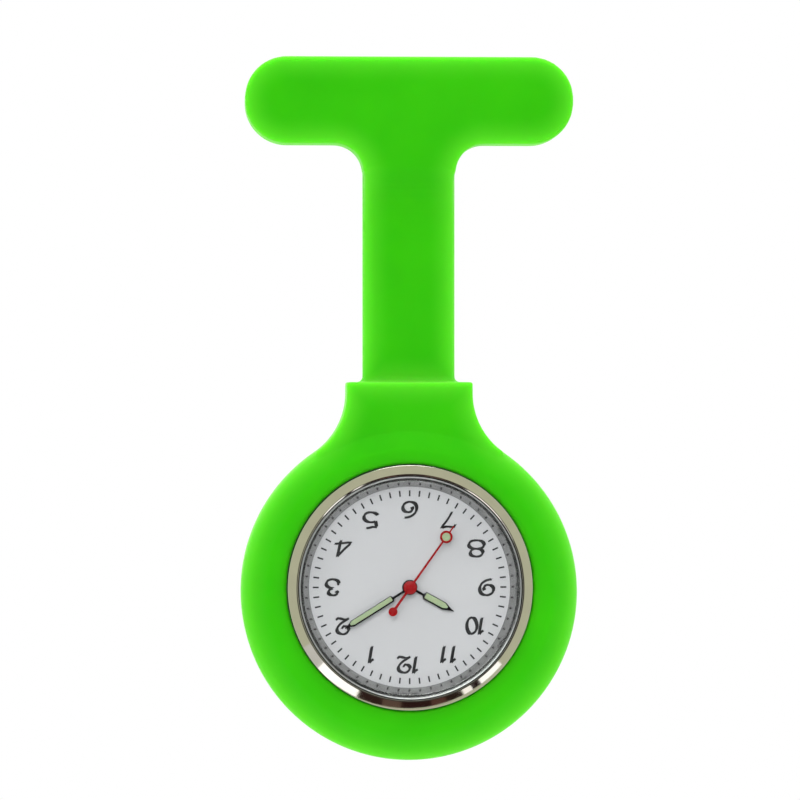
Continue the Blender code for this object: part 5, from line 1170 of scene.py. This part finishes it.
# ---------------------------------------------------------------- case back
def back_cover():
    """The case back: a dish with a turned groove, a lip that snaps into the case and a pry notch."""
    radius, rim = BACK_RADIUS, levels_of("case_back")[1]
    groove_start, groove_end, groove_deep = 9.7 * MM, 10.1 * MM, 0.08 * MM
    floor, flange, slope_start = 0.5 * MM, 0.6 * MM, 12.9 * MM
    lip_inner, lip_outer = 13.45 * MM, 13.9 * MM
    corners = [
        (0, 0, 0),
        (groove_start - 0.1 * MM, 0, 0.04 * MM),
        (groove_start, groove_deep, 0.03 * MM),
        (groove_end, groove_deep, 0.03 * MM),
        (groove_end + 0.1 * MM, 0, 0.04 * MM),
        (slope_start, 0, 0.1 * MM),
        (radius, 0.27 * MM, 0.1 * MM),
        (radius, flange, 0.03 * MM),
        (lip_outer, flange, 0),
        (lip_outer, rim, 0.05 * MM),
        (lip_inner, rim, 0.05 * MM),
        (lip_inner, floor, 0),
        (0, floor, 0),
    ]
    cover = turned("back_cover", corners, 4, sides=2 * FINE, angle=25)
    pry_half, pry_deep = 1.6 * MM, 0.45 * MM
    pry = block((-pry_half, -radius - MM, 0.2 * MM), (pry_half, pry_deep - radius, 0.8 * MM))
    combine(cover, "DIFFERENCE", piece("pry_notch", soften(pry, 0.15 * MM, 3), HEAD))
    settle(cover, 25)
    dress(cover, "watch", "brushed_steel", turned_steel(), replaces=("case_back",))


# ---------------------------------------------------------------- pieces carried over from the frame
def paint_nodes():
    """Gives every node of the frame a finish of its own kind."""
    scene = bpy.context.scene
    tool = shared("tool steel", worn_metal, "tool steel", (0.4, 0.41, 0.43), 0.25)
    brass = shared("brass", worn_metal, "brass", (0.72, 0.47, 0.15), 0.24)
    white = moulded_plastic("white plastic", (0.75, 0.75, 0.72))
    kinds = {
        "holder": shared("green silicone", soft_silicone, scene.fob_skin),
        "brooch": nickel(),
        "case_middle": grey_steel(),
        "bezel": steel(),
        "rehaut": grey_steel(),
        "crown_tube": steel(),
        "crown_gasket": black_rubber(),
        "crystal_gasket": black_rubber(),
        "case_back_gasket": black_rubber(),
        "crown": steel(),
        "case_back": turned_steel(),
        "crystal": shared("mineral glass", clear_glass),
        "dial_washer": brass,
        "dial": shared("dial lacquer", dial_lacquer, scene.fob_head),
        "movement_ring": white,
        "main_plate": white,
        "train_bridge": nickel(),
        "coil_core": worn_metal("silicon iron", (0.22, 0.22, 0.24), 0.4),
        "coil_winding": wound_copper(),
        "stator": worn_metal("stator iron", (0.25, 0.25, 0.27), 0.38),
        "circuit_board": circuit_green(),
        "circuit_chip": moulded_plastic("chip resin", (0.015, 0.015, 0.017), 0.5),
        "quartz_can": nickel(),
        "battery": worn_metal("cell steel", (0.7, 0.69, 0.66), 0.16, stretch=(1, 1, 14)),
        "rotor_magnet": worn_metal("magnet", (0.09, 0.09, 0.1), 0.45),
        "hour_hand": hand_metal(),
        "minute_hand": hand_metal(),
        "second_hand": enamel("red enamel on steel", scene.fob_hands.red_colour, 0.28),
        "setting_wheel": tool,
        "wheel": brass,
    }
    for name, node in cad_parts.items():
        fits = [key for key in kinds if name.startswith(key) or (key == "wheel" and name.endswith(key))]
        node.data.materials.clear()
        node.data.materials.append(kinds[max(fits, key=len)] if fits else tool)


# ---------------------------------------------------------------- stage
def plain(name, colour, strength=0.0):
    made = bpy.data.materials.new(name)
    made.use_nodes = True
    shader = made.node_tree.nodes["Principled BSDF"]
    shader.inputs["Base Color"].default_value = (*colour, 1.0)
    shader.inputs["Roughness"].default_value = 0.8
    if strength:
        shader.inputs["Base Color"].default_value = (0, 0, 0, 1)
        shader.inputs["Specular IOR Level"].default_value = 0
        shader.inputs["Emission Color"].default_value = (*colour, 1.0)
        shader.inputs["Emission Strength"].default_value = strength
    return made


def card(name, start, end, colour, strength):
    """Part of a cone round the dial's axis, in front of the watch, that only reflections show."""
    near, far, reach = 60 * MM, 330 * MM, 120 * MM
    bm = bmesh.new()
    verts = [bm.verts.new((near, 0, reach)), bm.verts.new((far, 0, reach * 1.2))]
    edge = bm.edges.new(verts)
    about = Matrix.Rotation(math.radians(start), 3, "Z")
    bmesh.ops.rotate(bm, cent=(0, 0, 0), matrix=about, verts=verts)
    bmesh.ops.spin(
        bm, geom=verts + [edge], cent=(0, 0, 0), axis=(0, 0, 1), angle=math.radians(end - start), steps=24
    )
    made = piece(name, bm, HEAD)
    made.data.materials.append(plain(name, colour, strength))
    for ray in ("camera", "diffuse", "transmission", "shadow"):
        setattr(made, "visible_" + ray, False)


CARDS = (
    # name, first and last bearing in degrees from the right, colour, strength
    ("card_dark_table", -112, -100, (0.035, 0.018, 0.014), 1.0),
    ("card_brown_table", -100, -91, (0.12, 0.075, 0.055), 1.0),
    ("card_black_table", -91, -77, (0.03, 0.012, 0.01), 1.0),
    ("card_red_table", -77, -70, (0.1, 0.045, 0.035), 1.0),
    ("card_deep_table", -70, -62, (0.025, 0.014, 0.01), 1.0),
    ("card_white_left", -135, -112.5, (1.0, 0.98, 0.95), 1.6),
    ("card_grey_left", -147, -135, (0.95, 0.93, 0.86), 0.72),
    ("card_white_right", -52.5, -40, (1.0, 0.98, 0.95), 1.5),
    ("card_white_notch", -61.5, -57, (1.0, 0.97, 0.92), 1.3),
    ("card_black_notch", -57, -52.5, (0.02, 0.01, 0.01), 1.0),
)


def sky(strength):
    """White behind the watch, an even light on it, and a warmer and dimmer room in its polished steel."""
    world = bpy.data.worlds.new("studio")
    bpy.context.scene.world = world
    world.use_nodes = True
    wires = Wires(world.node_tree)
    ray = wires.node("ShaderNodeLightPath").outputs
    split = wires.node("ShaderNodeSeparateXYZ")
    wires.join(wires.node("ShaderNodeTexCoord").outputs["Generated"], split.inputs["Vector"])
    lift = wires.node("ShaderNodeMath", operation="MULTIPLY_ADD")
    lift.inputs[1].default_value = 0.5
    lift.inputs[2].default_value = 0.5
    wires.join(split.outputs["Y"], lift.inputs[0])

    def by_way(*stops):
        """A colour for each way that a ray goes: 0 towards the viewer, 1 behind the watch."""
        made = wires.node("ShaderNodeValToRGB")
        wires.join(lift.outputs["Value"], made.inputs["Fac"])
        elements = made.color_ramp.elements
        elements.remove(elements[1])
        elements[0].position = stops[0][0]
        elements[0].color = (*stops[0][1], 1)
        for place, colour in stops[1:]:
            elements.new(place).color = (*colour, 1)
        return made.outputs["Color"]

    beige, dim = (0.55, 0.56, 0.4), (0.05, 0.05, 0.05)
    front, back = (strength,) * 3, (strength * 2,) * 3
    room = by_way((0.09, (0.06, 0.055, 0.05)), (0.16, beige), (0.33, beige), (0.42, (1, 1, 1)))
    air = by_way((0.015, dim), (0.035, front), (0.4, front), (0.6, back))
    in_metal = wires.node("ShaderNodeMath", operation="SUBTRACT", use_clamp=True)
    wires.join(ray["Is Glossy Ray"], in_metal.inputs[0])
    wires.join(ray["Is Transmission Ray"], in_metal.inputs[1])
    lit = wires.blend(in_metal.outputs["Value"], air, room)
    seen = wires.blend(ray["Is Camera Ray"], lit, (1, 1, 1))
    wires.join(seen, wires.tree.nodes["Background"].inputs["Color"])


def softbox(name, place, target, size, power):
    lamp = bpy.data.lights.new(name, "AREA")
    lamp.shape = "DISK"
    lamp.size = size
    lamp.energy = power
    holder = bpy.data.objects.new(name, lamp)
    holder.location = place
    holder.rotation_euler = (Vector(target) - Vector(place)).to_track_quat("-Z", "Y").to_euler()
    bpy.context.scene.collection.objects.link(holder)
    return holder


def set_stage(s):
    scene = bpy.context.scene
    scene.view_settings.view_transform = "Standard"
    sky(s.sky)
    target = (0, 0, s.aim_z)
    above, ahead = (0, -40 * MM, 300 * MM), (-60 * MM, -420 * MM, 120 * MM)
    softbox("overhead_softbox", above, target, 200 * MM, s.lamp * 0.6)
    key = softbox("front_softbox", ahead, target, 300 * MM, s.lamp)
    key.visible_glossy = False
    for values in CARDS:
        card(*values)
    floor_bm = bmesh.new()
    bmesh.ops.create_grid(floor_bm, x_segments=1, y_segments=1, size=150 * MM)
    low = RING_LOW.z - s.floor_drop
    floor = piece("floor", floor_bm, Matrix.Translation((0, 0, low)))
    floor.data.materials.append(plain("pale floor", (0.9, 0.9, 0.9)))
    floor.visible_glossy = False
    camera = bpy.data.cameras.new("camera")
    camera.sensor_width = 36
    camera.lens = camera.sensor_width * s.distance / s.field
    camera.dof.use_dof = False
    holder = bpy.data.objects.new("camera", camera)
    aim = Vector((s.aim_x, -BAR_HIGH.z - MM, s.aim_z))
    away = Vector((math.sin(s.azimuth), -math.cos(s.azimuth), 0)) * s.distance
    holder.location = aim + away
    holder.rotation_euler = (-away).to_track_quat("-Z", "Y").to_euler()
    scene.collection.objects.link(holder)
    scene.camera = holder


# ---------------------------------------------------------------- operators
class FOBWATCH_OT_nodes(Operator):
    """Give every carried-over piece of the watch its finish"""

    bl_idname = "fob_watch.nodes"
    bl_label = "Finish Movement and Case"

    def execute(self, context):
        paint_nodes()
        return {"FINISHED"}


class FOBWATCH_OT_skin(Operator):
    """Mould the silicone T-bar, strap, collar and ring as one skin"""

    bl_idname = "fob_watch.skin"
    bl_label = "Silicone Skin"

    def execute(self, context):
        silicone_skin(context.scene.fob_skin)
        return {"FINISHED"}


class FOBWATCH_OT_bezel(Operator):
    """Turn the bezel and the polished wall between dial and glass"""

    bl_idname = "fob_watch.bezel"
    bl_label = "Bezel and Wall"

    def execute(self, context):
        bezel_ring(context.scene.fob_head)
        polished_wall(context.scene.fob_head)
        return {"FINISHED"}


class FOBWATCH_OT_glass(Operator):
    """Make the glass and its gasket"""

    bl_idname = "fob_watch.glass"
    bl_label = "Glass and Gasket"

    def execute(self, context):
        glass(context.scene.fob_head)
        return {"FINISHED"}


class FOBWATCH_OT_dial(Operator):
    """Make the dial, its minute marks and its numerals"""

    bl_idname = "fob_watch.dial"
    bl_label = "Dial"

    def execute(self, context):
        watch_dial(context.scene.fob_head)
        return {"FINISHED"}


class FOBWATCH_OT_hands(Operator):
    """Make the hour, minute and second hands with their luminous fill"""

    bl_idname = "fob_watch.hands"
    bl_label = "Hands"

    def execute(self, context):
        watch_hands(context.scene.fob_hands)
        return {"FINISHED"}


class FOBWATCH_OT_back(Operator):
    """Turn the case back"""

    bl_idname = "fob_watch.back"
    bl_label = "Case Back"

    def execute(self, context):
        back_cover()
        return {"FINISHED"}


class FOBWATCH_OT_stage(Operator):
    """Set the light, the floor and the camera"""

    bl_idname = "fob_watch.stage"
    bl_label = "Stage"

    def execute(self, context):
        set_stage(context.scene.fob_stage)
        return {"FINISHED"}


class FOBWATCH_PT_panel(Panel):
    bl_idname = "FOBWATCH_PT_panel"
    bl_label = "Fob Watch"
    bl_space_type = "VIEW_3D"
    bl_region_type = "UI"
    bl_category = "Fob Watch"

    def draw(self, context):
        column = self.layout.column(align=True)
        for operator in OPERATORS:
            column.operator(operator.bl_idname)
        for name in SETTINGS:
            group = getattr(context.scene, name)
            box = self.layout.box()
            for key in group.bl_rna.properties.keys():
                if key not in ("rna_type", "name"):
                    box.prop(group, key)


OPERATORS = (
    FOBWATCH_OT_nodes,
    FOBWATCH_OT_skin,
    FOBWATCH_OT_bezel,
    FOBWATCH_OT_glass,
    FOBWATCH_OT_dial,
    FOBWATCH_OT_hands,
    FOBWATCH_OT_back,
    FOBWATCH_OT_stage,
)
SETTINGS = {
    "fob_skin": SkinSettings,
    "fob_head": HeadSettings,
    "fob_hands": HandSettings,
    "fob_stage": StageSettings,
}


def register():
    for name, group in SETTINGS.items():
        bpy.utils.register_class(group)
        setattr(bpy.types.Scene, name, PointerProperty(type=group))
    for operator in OPERATORS:
        bpy.utils.register_class(operator)
    bpy.utils.register_class(FOBWATCH_PT_panel)


def unregister():
    bpy.utils.unregister_class(FOBWATCH_PT_panel)
    for operator in reversed(OPERATORS):
        bpy.utils.unregister_class(operator)
    for name, group in SETTINGS.items():
        delattr(bpy.types.Scene, name)
        bpy.utils.unregister_class(group)


def main():
    register()
    bpy.ops.fob_watch.nodes()
    bpy.ops.fob_watch.skin()
    bpy.ops.fob_watch.bezel()
    bpy.ops.fob_watch.glass()
    bpy.ops.fob_watch.dial()
    bpy.ops.fob_watch.hands()
    bpy.ops.fob_watch.back()
    bpy.ops.fob_watch.stage()


if __name__ == "__main__":
    main()
